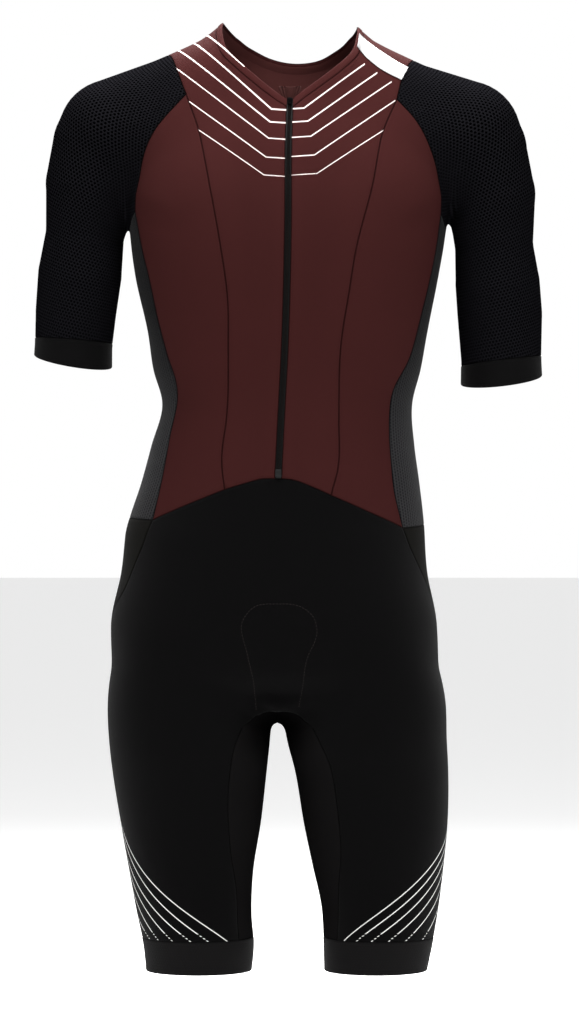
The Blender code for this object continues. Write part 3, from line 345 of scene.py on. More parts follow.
def slope_of_form(points, step=0.0006):
    """Slope of form() at the points."""
    return np.stack([(form(points + step * axis) - form(points - step * axis)) / (2 * step)
                     for axis in np.eye(3)], axis=1)


def run_of(line):
    """Length along a line of places up to each of them."""
    return np.insert(np.cumsum(np.linalg.norm(np.diff(line, axis=0), axis=1)), 0, 0)


def unit(vectors):
    """Vectors at length 1."""
    return vectors / (np.linalg.norm(vectors, axis=-1, keepdims=True) + 1e-12)


def outward(points):
    """Unit normals of the form at the points, whatever their array's shape."""
    return unit(slope_of_form(np.reshape(points, (-1, 3)))).reshape(np.shape(points))


def settle(points, rounds=9):
    """Points moved along the slope until they lie on the form, whatever their array's shape."""
    flat = np.array(points, float).reshape(-1, 3)
    for _ in range(rounds):
        slope = slope_of_form(flat)
        move = form(flat)[:, None] * slope / ((slope**2).sum(1)[:, None] + 1e-9)
        flat = flat - move * np.minimum(1, 0.02 / (np.linalg.norm(move, axis=1)[:, None] + 1e-12))
    return flat.reshape(np.shape(points))


def meet(starts, headings, reach=0.35, steps=280):
    """Where straight lines from the starts first cross the form, from outside in or inside out."""
    starts = np.array(starts, float)
    headings = np.broadcast_to(unit(np.array(headings, float)), starts.shape)
    along = np.linspace(0, reach, steps)
    line = starts[:, None, :] + along[None, :, None] * headings[:, None, :]
    outside = form(line.reshape(-1, 3)).reshape(len(starts), steps) > 0
    crossed = np.argmax(outside != outside[:, :1], axis=1)
    near, far = along[crossed - 1], along[crossed]
    for _ in range(18):
        middle = (near + far) / 2
        same = (form(starts + middle[:, None] * headings) > 0) == outside[:, 0]
        near = np.where(same, middle, near)
        far = np.where(same, far, middle)
    return starts + ((near + far) / 2)[:, None] * headings


def laid_along(axis, start, places):
    """Places given by their other two coordinates, laid on the form along one axis from a start outside."""
    heading = np.zeros(3)
    heading[axis] = -np.sign(start)
    return meet(np.insert(np.array(places, float), axis, start, axis=1), heading)


def on_front(places):
    """Places given by x and z, laid on the front."""
    return laid_along(1, -0.26, places)


def on_back(places):
    """Places given by x and z, laid on the back."""
    return laid_along(1, 0.26, places)


def on_side(side, places):
    """Places given by y and z, laid on the outside of one leg or hip."""
    return laid_along(0, side * 0.28, places)


def on_top(places):
    """Places given by x and y, laid on the shoulders from above."""
    return laid_along(2, 0.12, places)


def curve(places, pieces, first=0.0, last=0.0):
    """A smooth line through places, divided into pieces, each cut FINE times finer, settled on the form.

    The pieces are equal, apart from a first or a last one of a given length.
    """
    places = np.array(places, float)
    run = run_of(places)
    close = smooth(np.linspace(0, run[-1], 40 * len(places)), run, places)
    length = run_of(close)
    even = np.linspace(first, length[-1] - last, pieces + 1 - (first > 0) - (last > 0))
    cuts = np.concatenate([[0] * (first > 0), even, [length[-1]] * (last > 0)])
    cuts = np.interp(np.arange(pieces * FINE + 1) / FINE, np.arange(pieces + 1), cuts)
    line = np.stack([np.interp(cuts, length, close[:, axis]) for axis in range(3)], 1)
    return settle(line)


def around(one, other, columns, middle):
    """Rows of places going round an upright axis from one edge to the other.

    Angle, distance from the axis and height each change in equal shares from one[row] to other[row].
    """
    share = np.linspace(0, 1, columns + 1)[:, None]
    start = one[:, :2] - middle
    end = other[:, :2] - middle
    turn = np.arctan2(start[:, 0] * end[:, 1] - start[:, 1] * end[:, 0], (start * end).sum(1))
    angle = np.arctan2(start[:, 1], start[:, 0]) + share * turn
    radius = (1 - share) * np.linalg.norm(start, axis=1) + share * np.linalg.norm(end, axis=1)
    height = (1 - share) * one[:, 2] + share * other[:, 2]
    return np.stack([middle[:, 0] + radius * np.cos(angle), middle[:, 1] + radius * np.sin(angle),
                     height], axis=2)


def middle_of(sections, z):
    """The middle of level sections, as x and y, at heights z."""
    return section(np.array(z, float), sections)[0][:2].T


def trunk_middle(z):
    """The trunk's upright axis."""
    return middle_of(TRUNK, z)


def back_middle(z):
    """An axis well in front of the trunk's, for rows across the whole back."""
    return middle_of(TRUNK, z) - np.array([0, 0.06])


def shorts_middle(side):
    """The axis of one half of the shorts: the trunk's at the waist, the leg's from the crotch down."""
    def middle(z):
        share = eased(-np.array(z), 0.500, 0.660)[:, None]
        return (1 - share) * middle_of(TRUNK, z) + share * middle_of(LEG[side], z)
    return middle


def level_edge(one, other, pieces, sections):
    """An edge that goes round a body of level sections from one place to another."""
    middle = middle_of(sections, [(one[2] + other[2]) / 2])
    line = around(one[None], other[None], pieces * FINE, middle)[:, 0]
    centre = np.column_stack([np.repeat(middle, len(line), 0), line[:, 2]])
    line = meet(centre, line - centre)
    line[0], line[-1] = one, other
    return line


def relax(grid, rounds, closed=False):
    """A grid [column, row] evened out on the form.

    In each round every inner place moves to the mean of its four neighbours and settles again. The
    edges stay. A closed grid's first and last column are the same places, and they move too.
    """
    for _ in range(rounds):
        wide = np.concatenate([grid[-2:-1], grid, grid[1:2]]) if closed else grid
        mean = (wide[:-2, 1:-1] + wide[2:, 1:-1] + wide[1:-1, :-2] + wide[1:-1, 2:]) / 4
        inner = grid[:, 1:-1] if closed else grid[1:-1, 1:-1]
        inner[:] = settle(mean, 3)
    return grid


def falling(count):
    """Shares that fall evenly from 1 at a border to 0 at the first of the solids' lines, for each end."""
    near = np.maximum(1 - np.arange(count) / FINE, 0)
    return near, near[::-1]


def cubic_finer(grid):
    """A grid cut FINE times finer each way: cubic curves through its places along columns, then rows."""
    for axis in (0, 1):
        lines = np.moveaxis(grid, axis, 0)
        at = np.arange((len(lines) - 1) * FINE + 1) / FINE
        run = smooth(at, np.arange(len(lines)), lines.reshape(len(lines), -1))
        grid = np.moveaxis(run.reshape((len(at),) + lines.shape[1:]), 0, axis)
    return grid


def finer(grid, left, right, top, bottom):
    """A grid cut FINE times finer each way, with finely divided edges.

    What a border misses of its edge is added to the lines beside it in falling shares, and the inside
    settles on the form.
    """
    grid = cubic_finer(grid)
    first, last = falling(grid.shape[0])
    upper, lower = falling(grid.shape[1])
    missed = (first[:, None, None] * (left - grid[0])[None]
              + last[:, None, None] * (right - grid[-1])[None]
              + upper[None, :, None] * (top - grid[:, 0])[:, None]
              + lower[None, :, None] * (bottom - grid[:, -1])[:, None])
    grid = grid + missed
    grid[1:-1, 1:-1] = settle(grid[1:-1, 1:-1], 3)
    grid[0], grid[-1], grid[:, 0], grid[:, -1] = left, right, top, bottom
    return grid


def patch(left, right, top, bottom, middle):
    """A grid of places between four edges that share their corners: [column, row].

    It is worked out on the solids' own lines: the rows go round the middle, an upright axis, from the
    left edge to the right, what they miss of the top and bottom edge is added in falling shares, and
    the places settle on the form and are evened out. Then it is cut finer.
    """
    one, other, upper, lower = (edge[::FINE] for edge in (left, right, top, bottom))
    grid = around(one, other, len(upper) - 1, middle((one[:, 2] + other[:, 2]) / 2))
    share = np.linspace(0, 1, len(one))[None, :, None]
    missed_top = (upper - grid[:, 0])[:, None]
    missed_bottom = (lower - grid[:, -1])[:, None]
    grid = grid + (1 - share) * missed_top + share * missed_bottom
    grid[1:-1, 1:-1] = settle(grid[1:-1, 1:-1])
    return finer(relax(grid, 8), left, right, top, bottom)


# ---- the seams, laid on the form -----------------------------------------------------------------
def zip_place(z, sideways=0.0):
    """Places on the front by their height, beside the zip's middle line."""
    line = np.array(sorted(ZIP_LINE, key=lambda place: place[1]))
    x = smooth(np.atleast_1d(np.array(z, float)), line[:, 1], line[:, :1])[:, 0]
    return on_front(np.column_stack([x + sideways, np.atleast_1d(z)]))


def lay_seams():
    """Every seam as a row of places on the form, by side and name."""
    seams = {}
    for side in (-1, 1):
        front = {name: on_front(places) for name, places in FRONT[side].items()}
        back = {name: on_back(places) for name, places in BACK[side].items()}
        neck_end, sleeve_end = on_top(SHOULDER_SEAM[side])
        beside_zip = side * ZIP_WIDTH / 2
        zip_rows = np.linspace(NECK_SEAM_Z, ZIP_FOOT, (SLEEVE_UPPER + BODY) * FINE + 1)
        front["waist_middle"][-1] = zip_place(zip_rows[-1], beside_zip)[0]
        waist_end = level_edge(front["side"][-1], back["side"][-1], 2, TRUNK)
        hip = np.vstack([front["hip"], on_side(side, THIGH_SIDE)])
        crotch_front = on_front([FRONT_MIDDLE[-1]])[0]
        crotch_back = on_back([BACK_MIDDLE[-1]])[0]
        under = meet([(FRONT_MIDDLE[-1][0], y, -0.80) for y in CROTCH_Y], (0, 0, 1))
        lower = SHORTS_LOWER - 2
        laid = {
            "zip": zip_place(zip_rows, beside_zip),
            "neck": curve(np.vstack([zip_place(NECK_SEAM_Z, beside_zip), front["neck"], neck_end]),
                          NECK_FRONT, first=ZIP_TAPE_WIDTH - ZIP_WIDTH / 2),
            "shoulder": curve([neck_end, sleeve_end], SHOULDER),
            "sleeve_upper": curve(np.vstack([sleeve_end, front["sleeve_upper"]]), SLEEVE_UPPER),
            "sleeve_lower": curve(front["sleeve_lower"], SLEEVE_LOWER),
            "underarm": curve(np.vstack([front["sleeve_lower"][-1], UNDERARM_DIP[side],
                                         back["sleeve"][0]]), UNDERARM),
            "sleeve_back": curve(np.vstack([back["sleeve"], sleeve_end]), SLEEVE_BACK),
            "princess": curve(front["princess"], BODY),
            "side": curve(front["side"], BODY),
            "back_side": curve(back["side"], BODY),
            "waist_side": curve(front["waist_side"], SLEEVE_LOWER),
            "waist_middle": curve(front["waist_middle"], NECK_FRONT + SHOULDER,
                                  last=ZIP_TAPE_WIDTH - ZIP_WIDTH / 2),
            "waist_hip": level_edge(waist_end[0], waist_end[-1], UNDERARM, TRUNK),
            "waist_back": level_edge(back["side"][-1], on_back([BACK_MIDDLE[0]])[0],
                                     NECK_BACK // 2 + SHOULDER, TRUNK),
            "hip": curve(hip, SHORTS_UPPER + SHORTS_LOWER),
            "inner_front": np.vstack([curve([crotch_front, front["inner_leg"][0]], 2)[:-1],
                                      curve(front["inner_leg"], lower)]),
            "inner_back": np.vstack([curve([crotch_back, back["inner_leg"][0]], 2)[:-1],
                                     curve(back["inner_leg"], lower)]),
            "crotch": curve(np.vstack([crotch_front, under, crotch_back]), CROTCH),
        }
        laid["band_front"] = level_edge(laid["hip"][-1], laid["inner_front"][-1],
                                        SLEEVE_LOWER + NECK_FRONT + SHOULDER, LEG[side])
        laid["band_inner"] = level_edge(laid["inner_front"][-1], laid["inner_back"][-1], CROTCH,
                                        LEG[side])
        laid["band_back"] = level_edge(laid["hip"][-1], laid["inner_back"][-1],
                                       UNDERARM + NECK_BACK // 2 + SHOULDER, LEG[side])
        seams[side] = laid
    neck_ends = [seams[side]["neck"][-1] for side in (-1, 1)]
    neck_back = curve(np.vstack([neck_ends[0], on_back(NECK_BACK_SEAM), neck_ends[1]]), NECK_BACK)
    for side in (-1, 1):
        seams[side]["neck_back"] = neck_back[::-side]
        seams[side]["front_middle"] = curve(on_front(FRONT_MIDDLE), SHORTS_UPPER)
        seams[side]["back_middle"] = curve(on_back(BACK_MIDDLE), SHORTS_UPPER)
    return seams


# ---- folds, placed one by one --------------------------------------------------------------------
# Both ends as x and z seen from the front or the back, how wide and how high (below 0 is a hollow).
FRONT_FOLDS = table("x0 z0 x1 z1 half height", [
    (-0.0130, -0.0690, -0.0060, -0.0800, 0.0016, -0.0007),
    (-0.0080, -0.0660, -0.0045, -0.0810, 0.0012, 0.0005),
    (0.0105, -0.0680, 0.0050, -0.0790, 0.0016, -0.0007),
    (0.0150, -0.0640, 0.0070, -0.0760, 0.0018, 0.0006),
    (-0.0300, -0.0600, -0.0120, -0.0760, 0.0028, -0.0006),
    (0.0290, -0.0600, 0.0120, -0.0750, 0.0028, -0.0006),
    (-0.0100, -0.4330, -0.0220, -0.4440, 0.0022, 0.0007),
    (-0.0170, -0.4260, -0.0290, -0.4400, 0.0030, -0.0006),
    (-0.0030, -0.4340, 0.0080, -0.4450, 0.0022, 0.0006),
    (0.0040, -0.4280, 0.0160, -0.4420, 0.0030, -0.0006),
    (-0.0640, -0.4350, -0.0580, -0.4520, 0.0026, 0.0008),
    (0.0480, -0.4300, 0.0440, -0.4560, 0.0030, 0.0008),
    (-0.0170, -0.6600, -0.0290, -0.6480, 0.0024, 0.0008),
    (-0.0190, -0.6680, -0.0340, -0.6590, 0.0026, -0.0009),
    (-0.0220, -0.6740, -0.0380, -0.6680, 0.0026, 0.0009),
    (0.0010, -0.6640, 0.0120, -0.6530, 0.0026, 0.0006),
    (-0.0265, -0.6900, -0.0400, -0.6840, 0.0026, 0.0008),
    (-0.0290, -0.7000, -0.0430, -0.6960, 0.0030, -0.0008),
    (0.0100, -0.6900, 0.0260, -0.6830, 0.0028, 0.0007),
    (-0.1180, -0.1720, -0.1440, -0.1600, 0.0070, 0.0008),
    (-0.1080, -0.1960, -0.1400, -0.1820, 0.0080, -0.0007),
    (0.1160, -0.1760, 0.1440, -0.1620, 0.0070, 0.0008),
    (0.1060, -0.2000, 0.1370, -0.1860, 0.0080, -0.0007),
    (-0.1700, -0.1800, -0.2020, -0.1600, 0.0060, 0.0009),
    (-0.1700, -0.2000, -0.2060, -0.1860, 0.0070, -0.0008),
    (0.1680, -0.1860, 0.2000, -0.1640, 0.0060, 0.0009),
    (0.1680, -0.2060, 0.2040, -0.1920, 0.0070, -0.0008),
])
BACK_FOLDS = table("x0 z0 x1 z1 half height", [
    (-0.0650, -0.3560, 0.0560, -0.3620, 0.0070, 0.0014),
    (-0.0520, -0.3740, 0.0460, -0.3790, 0.0080, -0.0012),
    (-0.0700, -0.3930, 0.0620, -0.3990, 0.0080, 0.0013),
    (-0.0420, -0.0560, 0.0420, -0.0580, 0.0080, 0.0008),
    (-0.0900, -0.6460, -0.0320, -0.6560, 0.0070, 0.0011),
    (0.0140, -0.6560, 0.0700, -0.6470, 0.0070, 0.0011),
])

# The printed chevrons: where each arm leaves its short level run, how steeply it climbs, how far it goes.
CHEVRONS = {
    -1: table("knee_x knee_z slope level end_x half", [
        (-0.0450, -0.0316, 0.97, 0.7, -0.2000, 0.00078),
        (-0.0177, -0.0760, 0.935, 2.0, -0.2000, 0.00074),
        (-0.0191, -0.0893, 0.855, 2.0, -0.2000, 0.00070),
        (-0.0205, -0.1060, 0.807, 2.0, -0.1145, 0.00056),
        (-0.0230, -0.1251, 0.766, 2.0, -0.0990, 0.00052),
        (-0.0249, -0.1430, 0.725, 2.0, -0.0905, 0.00045),
    ]),
    1: table("knee_x knee_z slope level end_x half", [
        (0.0142, -0.0750, 0.770, 2.0, 0.0745, 0.00066),
        (0.0181, -0.0885, 0.743, 2.0, 0.0868, 0.00064),
        (0.0210, -0.1040, 0.720, 2.0, 0.1010, 0.00055),
        (0.0244, -0.1230, 0.716, 2.0, 0.1045, 0.00052),
        (0.0268, -0.1415, 0.685, 2.0, 0.0935, 0.00044),
    ]),
}
CROTCH_MIDDLE = -0.012             # x between the two legs
CROTCH_PLACE = (-0.0125, -0.683)   # x and z of the arch between the legs
# The cloth round the arch is painted darker: painted shade in the fold between the legs.
CROTCH_PAINTED_SHADE = (0.050, 0.006)      # ways from it between which the cloth is shaded darker
PRINTED_FRONT = 0.006              # y up to which the chevrons are printed
LEVEL_FALL = 0.07                  # how far a chevron's level run falls per metre towards the zip

# The thigh lines on the cloth, by side: how far from the side seam each meets the leg band, how much
# nearer it comes per metre of rise, and how much that slackens.
THIGH_LINES = {
    -1: table("end slope bend", [(0.1388, 1.16, 2.1), (0.1187, 1.07, 2.3), (0.1012, 1.03, 2.2),
                                 (0.0818, 0.86, 1.1), (0.0635, 0.80, 1.0), (0.0487, 1.05, 0.0)]),
    1: table("end slope bend", [(0.1440, 0.95, -1.3), (0.1295, 0.95, -1.3), (0.1140, 0.95, -1.3),
                                (0.0970, 0.95, -1.3), (0.0785, 0.95, -1.3), (0.0550, 0.95, -1.3)]),
}

THIGH_LINE_EDGE = (0.00035, 0.00075)   # ways off a line between which it fades
THIGH_TOP = 0.165                      # rise by which every line has ended
DOTTED_RISE = 0.0090                   # rise up to which a line is broken into dots
DOT_PITCH = 0.0025
DOT_GAP = 0.0014

# The sewn edge of the seat pad, as x and z seen from the front.
PAD_EDGE = [(-0.0329, -0.6665), (-0.0358, -0.6355), (-0.0416, -0.6098), (-0.0459, -0.5784),
            (-0.0350, -0.5650), (-0.0122, -0.5617), (0.0120, -0.5650), (0.0239, -0.5755),
            (0.0269, -0.5882), (0.0171, -0.6157), (0.0123, -0.6475), (0.0093, -0.6636)]


def fold_height(points, folds):
    """Height of the folds at points: for each, its height x exp(-(distance to its line / half)^2)."""
    seen = points[:, [0, 2]]
    total = np.zeros(len(points))
    for x0, z0, x1, z1, half, height in folds["rows"]:
        start = np.array([x0, z0])
        run = np.array([x1, z1]) - start
        share = np.clip((seen - start) @ run / (run @ run), 0, 1)
        away = np.linalg.norm(seen - start - share[:, None] * run, axis=1)
        total += height * np.exp(-(away / half) ** 2)
    return total


def relief(points, normal):
    """How far the cloth lifts off the form: the front's folds where it faces forwards, else the back's."""
    return np.where(normal[:, 1] < 0, fold_height(points, FRONT_FOLDS), fold_height(points, BACK_FOLDS))


# ---- pieces of cloth -----------------------------------------------------------------------------
def off_border(grid):
    """How far each place of a grid [column, row] lies square off the line of its first column.

    The way from a row's first place to the place, crossed with the border's own unit heading there.
    """
    heading = unit(np.gradient(grid[0], axis=0))
    return np.linalg.norm(np.cross(grid - grid[:1], heading[None]), axis=2)


def run_along(grid, axis, origin):
    """Length along the grid's columns or rows, summed from place to place, 0 on the origin's line."""
    step = np.linalg.norm(np.diff(grid, axis=axis), axis=2)
    run = np.insert(np.cumsum(step, axis=axis), 0, 0, axis=axis)
    return run - np.take(run, [origin], axis=axis)


def beside_border(data):
    """Further lines beside the first column, at the widths of the rolled edge, between it and the next."""
    step = data[1] - data[0]
    length = np.linalg.norm(step[:, :3], axis=1)
    lines = [data[0] + np.minimum(width / length, share)[:, None] * step
             for width, share in zip(ROLL_LINES, (0.3, 0.65))]
    return np.concatenate([data[:1], lines, data[1:]])


FLAT_ROUNDS = 1200  # rounds in which a piece is laid flat
EVENED = 0.1        # share of the way to its neighbours' middle that a place moves in a round


def laid_flat(grid):
    """A grid [column, row] as its cloth lies flat: two measures a place, for its coarse lines and refined.

    It starts as a rectangle of mean widths and lengths. In each round every link to a neighbour, and
    every diagonal, moves both its ends by an eighth of how much it is too long or short, and the places
    within move a little towards the middle of their neighbours.
    """
    coarse = grid[::FINE, ::FINE]
    means = [run_along(coarse, axis, 0).mean(axis=1 - axis, keepdims=True) for axis in (0, 1)]
    flat = np.dstack([np.broadcast_to(mean, coarse.shape[:2]) for mean in means])
    low, high, every = slice(None, -1), slice(1, None), slice(None)
    links = [((low, every), (high, every)), ((every, low), (every, high)),
             ((low, low), (high, high)), ((low, high), (high, low))]
    true = [np.linalg.norm(coarse[far] - coarse[near], axis=2) for near, far in links]
    for _ in range(FLAT_ROUNDS):
        shift = np.zeros_like(flat)
        for (near, far), length in zip(links, true):
            way = flat[far] - flat[near]
            pull = (1 - length / np.linalg.norm(way, axis=2))[..., None] * way / 8
            shift[near] += pull
            shift[far] -= pull
        flat = flat + shift
        beside = flat[2:, 1:-1] + flat[:-2, 1:-1] + flat[1:-1, 2:] + flat[1:-1, :-2]
        flat[1:-1, 1:-1] += EVENED * (beside / 4 - flat[1:-1, 1:-1])
    middle = len(flat) // 2
    down = unit(flat[middle, -1] - flat[middle, 0])
    flat = flat - flat[middle, 0]
    flat = np.dstack([flat @ [down[1], -down[0]], flat @ down, np.zeros(flat.shape[:2])])
    for _ in range(2):
        flat = np.concatenate([2 * flat[:1] - flat[1:2], flat, 2 * flat[-1:] - flat[-2:-1]])
    return cubic_finer(flat)[2 * FINE:-2 * FINE, :, :2]


def with_edges(grid, edges="lrtb", origin=(None, 0), joined=0, flat=None):
    """A grid [column, row] with its cloth's measures: place, length and width, way to the two edges.

    Edges names the open ones: left, right, top, bottom. The first rows of the right edge, up to joined,
    are not an edge. The length and width start on the origin's column and row, unless given as flat.
    """
    columns, rows = grid.shape[:2]
    middle = columns // 2 if origin[0] is None else origin[0]
    width = run_along(grid, 0, middle)
    length = run_along(grid, 1, origin[1])
    if flat is not None:
        width, length = flat[..., 0], flat[..., 1]
    turned = grid.transpose(1, 0, 2)
    far = np.ones((columns, rows))
    right = off_border(grid[::-1])[::-1]
    right[:, :joined] = 1
    across = np.minimum(off_border(grid) if "l" in edges else far, right if "r" in edges else far)
    along = np.minimum(off_border(turned).T if "t" in edges else far,
                       off_border(turned[::-1])[::-1].T if "b" in edges else far)
    data = np.dstack([grid, width, length, across, along])
    for near, other in ("lr", "tb"):
        if near in edges:
            data = beside_border(data)
        if other in edges:
            data = beside_border(data[::-1])[::-1]
        data = data.transpose(1, 0, 2)
    return data


def open_edges(corners, count):
    """Edges that only one face has, each in that face's direction."""
    edges = np.vstack([corners[:, [0, 1]], corners[:, [1, 2]], corners[:, [2, 3]], corners[:, [3, 0]]])
    return edges[~np.isin(edges[:, 0] * count + edges[:, 1], edges[:, 1] * count + edges[:, 0])]


def grid_faces(columns, rows, first=0):
    """Corners of the squares of a grid whose places are numbered column by column."""
    index = first + np.arange(columns * rows).reshape(columns, rows)
    return np.stack([index[:-1, :-1], index[1:, :-1], index[1:, 1:], index[:-1, 1:]], 2).reshape(-1, 4)


def add_piece(name, places, faces, slot, materials, sharp=48):
    """A mesh piece on the suit's one body, smooth over gentle bends."""
    mesh = bpy.data.meshes.new(name)
    mesh.from_pydata(np.asarray(places, float).tolist(), [], np.asarray(faces).tolist())
    for material in materials:
        mesh.materials.append(material)
    mesh.shade_smooth()
    mesh.set_sharp_from_angle(angle=np.radians(sharp))
    piece = bpy.data.objects.new(name, mesh)
    bpy.context.scene.collection.objects.link(piece)
    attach(piece, "root")
    return piece


def shell(node, parts, slot, materials, inside=CLOTH, outside=0.0, pull=0.00004, roll=ROLL_DEPTH):
    """A cloth piece for a node: grids with their measures, given an outer face, an inner face and rims.

    Outer face: place + (outside + relief - roll x (1 - way to the edge / roll width)^2) x normal, and the
    inner one: place + (relief - inside) x normal. Places on an open edge are first pulled in by half of
    the seam gap. The second material is for the inner face.
    """
    data = np.vstack([part.reshape(-1, 7) for part in parts])
    squares = []
    first = 0
    for part in parts:
        grid = part[..., :3]
        faces = grid_faces(*part.shape[:2], first)
        first += part.shape[0] * part.shape[1]
        facing = np.cross(grid[1:, :-1] - grid[:-1, :-1], grid[:-1, 1:] - grid[:-1, :-1])
        squares.append(faces if (facing * outward(grid[:-1, :-1])).sum() > 0 else faces[:, ::-1])
    rows_of = np.vstack(squares)
    _, keep, same = np.unique(np.round(data[:, :3], 6), axis=0, return_index=True, return_inverse=True)
    places, edge_way = data[keep, :3], data[keep, 5:]
    corners = same.reshape(-1)[rows_of]
    count = len(places)
    normal = outward(places)
    edges = open_edges(corners, count)
    heading = unit(places[edges[:, 1]] - places[edges[:, 0]])
    inwards = unit(np.cross(normal[edges[:, 0]] + normal[edges[:, 1]], heading))
    total = np.zeros_like(places)
    np.add.at(total, edges[:, 0], inwards)
    np.add.at(total, edges[:, 1], inwards)
    square = (total**2).sum(1)[:, None]
    places = places + np.where(square > 1e-9, pull * 2 * total / np.maximum(square, 0.6), 0)
    lift = relief(places, normal)[:, None]
    near = np.clip(1 - edge_way.min(axis=1) / ROLL_LINES[-1], 0, 1)[:, None]
    both = np.vstack([places + (outside + lift - roll * near**2) * normal,
                      places + (lift - inside) * normal])
    rim = np.column_stack([edges[:, 1], edges[:, 0], edges[:, 0] + count, edges[:, 1] + count])
    faces = np.vstack([corners, corners[:, ::-1] + count, rim])
    piece = add_piece(f"{node}_cloth", both, faces, slot, materials)
    mesh = piece.data
    flat = data[:, 3:5]
    corner_map = np.vstack([flat[rows_of].reshape(-1, 2), flat[rows_of[:, ::-1]].reshape(-1, 2),
                            flat[keep[rim % count]].reshape(-1, 2)])
    mesh.uv_layers.new(name="cloth").data.foreach_set("uv", corner_map.ravel())
    way = np.column_stack([edge_way, np.zeros(count)])
    ways = mesh.attributes.new("edge_way", "FLOAT_VECTOR", "POINT")
    ways.data.foreach_set("vector", np.vstack([way, way]).ravel())
    if len(materials) > 1:
        lining = np.zeros(len(faces), int)
        lining[len(corners):2 * len(corners)] = 1
        mesh.polygons.foreach_set("material_index", lining)
    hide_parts(node)
    a, b, c, d = places[corners].transpose(1, 0, 2)


def make_front(seams, side, wearer, finishes):
    """Chest panels of one side. The columns beside the zip keep the width of the tape behind them."""
    seam = seams[side]
    top = np.vstack([seam["neck"], seam["shoulder"][1:]])
    bottom = seam["waist_middle"][::-1]
    rim = zip_place(np.linspace(top[FINE, 2], bottom[FINE, 2], len(seam["zip"])), side * ZIP_TAPE_WIDTH)
    rim[0], rim[-1] = top[FINE], bottom[FINE]
    share = np.linspace(0, 1, FINE + 1)[:, None, None]
    strip = settle((1 - share) * seam["zip"] + share * rim, 4)
    strip[:, 0], strip[:, -1] = top[:FINE + 1], bottom[:FINE + 1]
    strip[0], strip[-1] = seam["zip"], rim
    rest = patch(rim, np.vstack([seam["sleeve_upper"], seam["princess"][1:]]), top[FINE:],
                 bottom[FINE:], trunk_middle)
    centre = np.concatenate([strip[:-1], rest])
    shell(f"front_centre_{wearer}", [with_edges(centre, origin=(0, 0))], "maroon",
          [finishes[f"chevrons_{wearer}"], finishes["maroon_inside"]])
    flank = patch(seam["princess"], seam["side"], seam["sleeve_lower"], seam["waist_side"][::-1],
                  trunk_middle)
    shell(f"front_side_{wearer}", [with_edges(flank, origin=(0, 0))], "maroon",
          [finishes["maroon"], finishes["maroon_inside"]])
    return centre[:FINE + 1]


def make_back(seams, finishes):
    """The back, in one piece from shoulder to shoulder and down to the waist."""
    edge = {side: np.vstack([seams[side]["sleeve_back"][::-1], seams[side]["back_side"][1:]])
            for side, _ in SIDES}
    top = np.vstack([seams[-1]["shoulder"][::-1], seams[-1]["neck_back"][1:],
                     seams[1]["shoulder"][1:]])
    bottom = np.vstack([seams[-1]["waist_back"], seams[1]["waist_back"][-2::-1]])
    grid = patch(edge[-1], edge[1], top, bottom, back_middle)
    shell("back", [with_edges(grid)], "maroon", [finishes["maroon"], finishes["maroon_inside"]])


def make_side_panel(seams, side, wearer, finishes):
    """Knitted panel from the underarm to the hip, round the side of the trunk."""
    seam = seams[side]
    panel = patch(seam["side"], seam["back_side"], seam["underarm"], seam["waist_hip"], trunk_middle)
    shell(f"side_panel_{wearer}", [with_edges(panel, flat=laid_flat(panel))], "knit",
          [finishes["side_knit"], finishes["black_inside"]])


def line_of(places, pieces):
    """A smooth line in the plane y = 0 through places given by x and z, in equal pieces."""
    places = np.array([(x, 0, z) for x, z in places])
    run = run_of(places)
    return smooth(np.linspace(0, run[-1], pieces + 1), run, places)


def armhole_of(seam):
    """The closed seam round one sleeve, from the shoulder down the front and up the back."""
    return np.vstack([seam["sleeve_upper"], seam["sleeve_lower"][1:], seam["underarm"][1:],
                      seam["sleeve_back"][1:]])


def sleeve_rings(armhole, side):
    """The sleeve's places on the solids' lines: ellipses on the chords between its two lines.

    The first ring keeps the angles of the sleeve seam and the last has even ones. What the first ring
    misses of the seam is added to every ring in shares that fall with the square of the way.
    """
    armhole = armhole[::FINE]
    outer = line_of(SLEEVE_OUTER[side], SLEEVE_ROWS)
    inner = line_of(SLEEVE_INNER[side], SLEEVE_ROWS)
    arm = ARM[side]["rows"]
    middle = (outer + inner) / 2
    middle[:, 1] = np.interp(-middle[:, 2], -arm[:, 2], arm[:, 1])
    across = (outer - inner) / 2
    depth = ARM_DEPTH * np.interp(-middle[:, 2], -arm[:, 2], arm[:, 3])
    from_middle = armhole - middle[0]
    angle = np.unwrap(np.arctan2(from_middle[:, 1] / depth[0],
                                 (from_middle * across[0]).sum(1) / (across[0] ** 2).sum()))
    angle[-1] = angle[0] + np.copysign(2 * np.pi, angle[-1] - angle[0])
    even = np.linspace(angle[0], angle[-1], len(angle))
    share = np.linspace(0, 1, SLEEVE_ROWS + 1)
    turned = angle[:, None] + (even - angle)[:, None] * share
    rings = middle + np.cos(turned)[:, :, None] * across
    rings[:, :, 1] += np.sin(turned) * depth
    rings = rings + (1 - share[None, :, None]) ** 2 * (armhole - rings[:, 0])[:, None]
    rings[:, 1:] = settle(rings[:, 1:])
    rings[-1] = rings[0]
    return relax(rings, 40, closed=True)


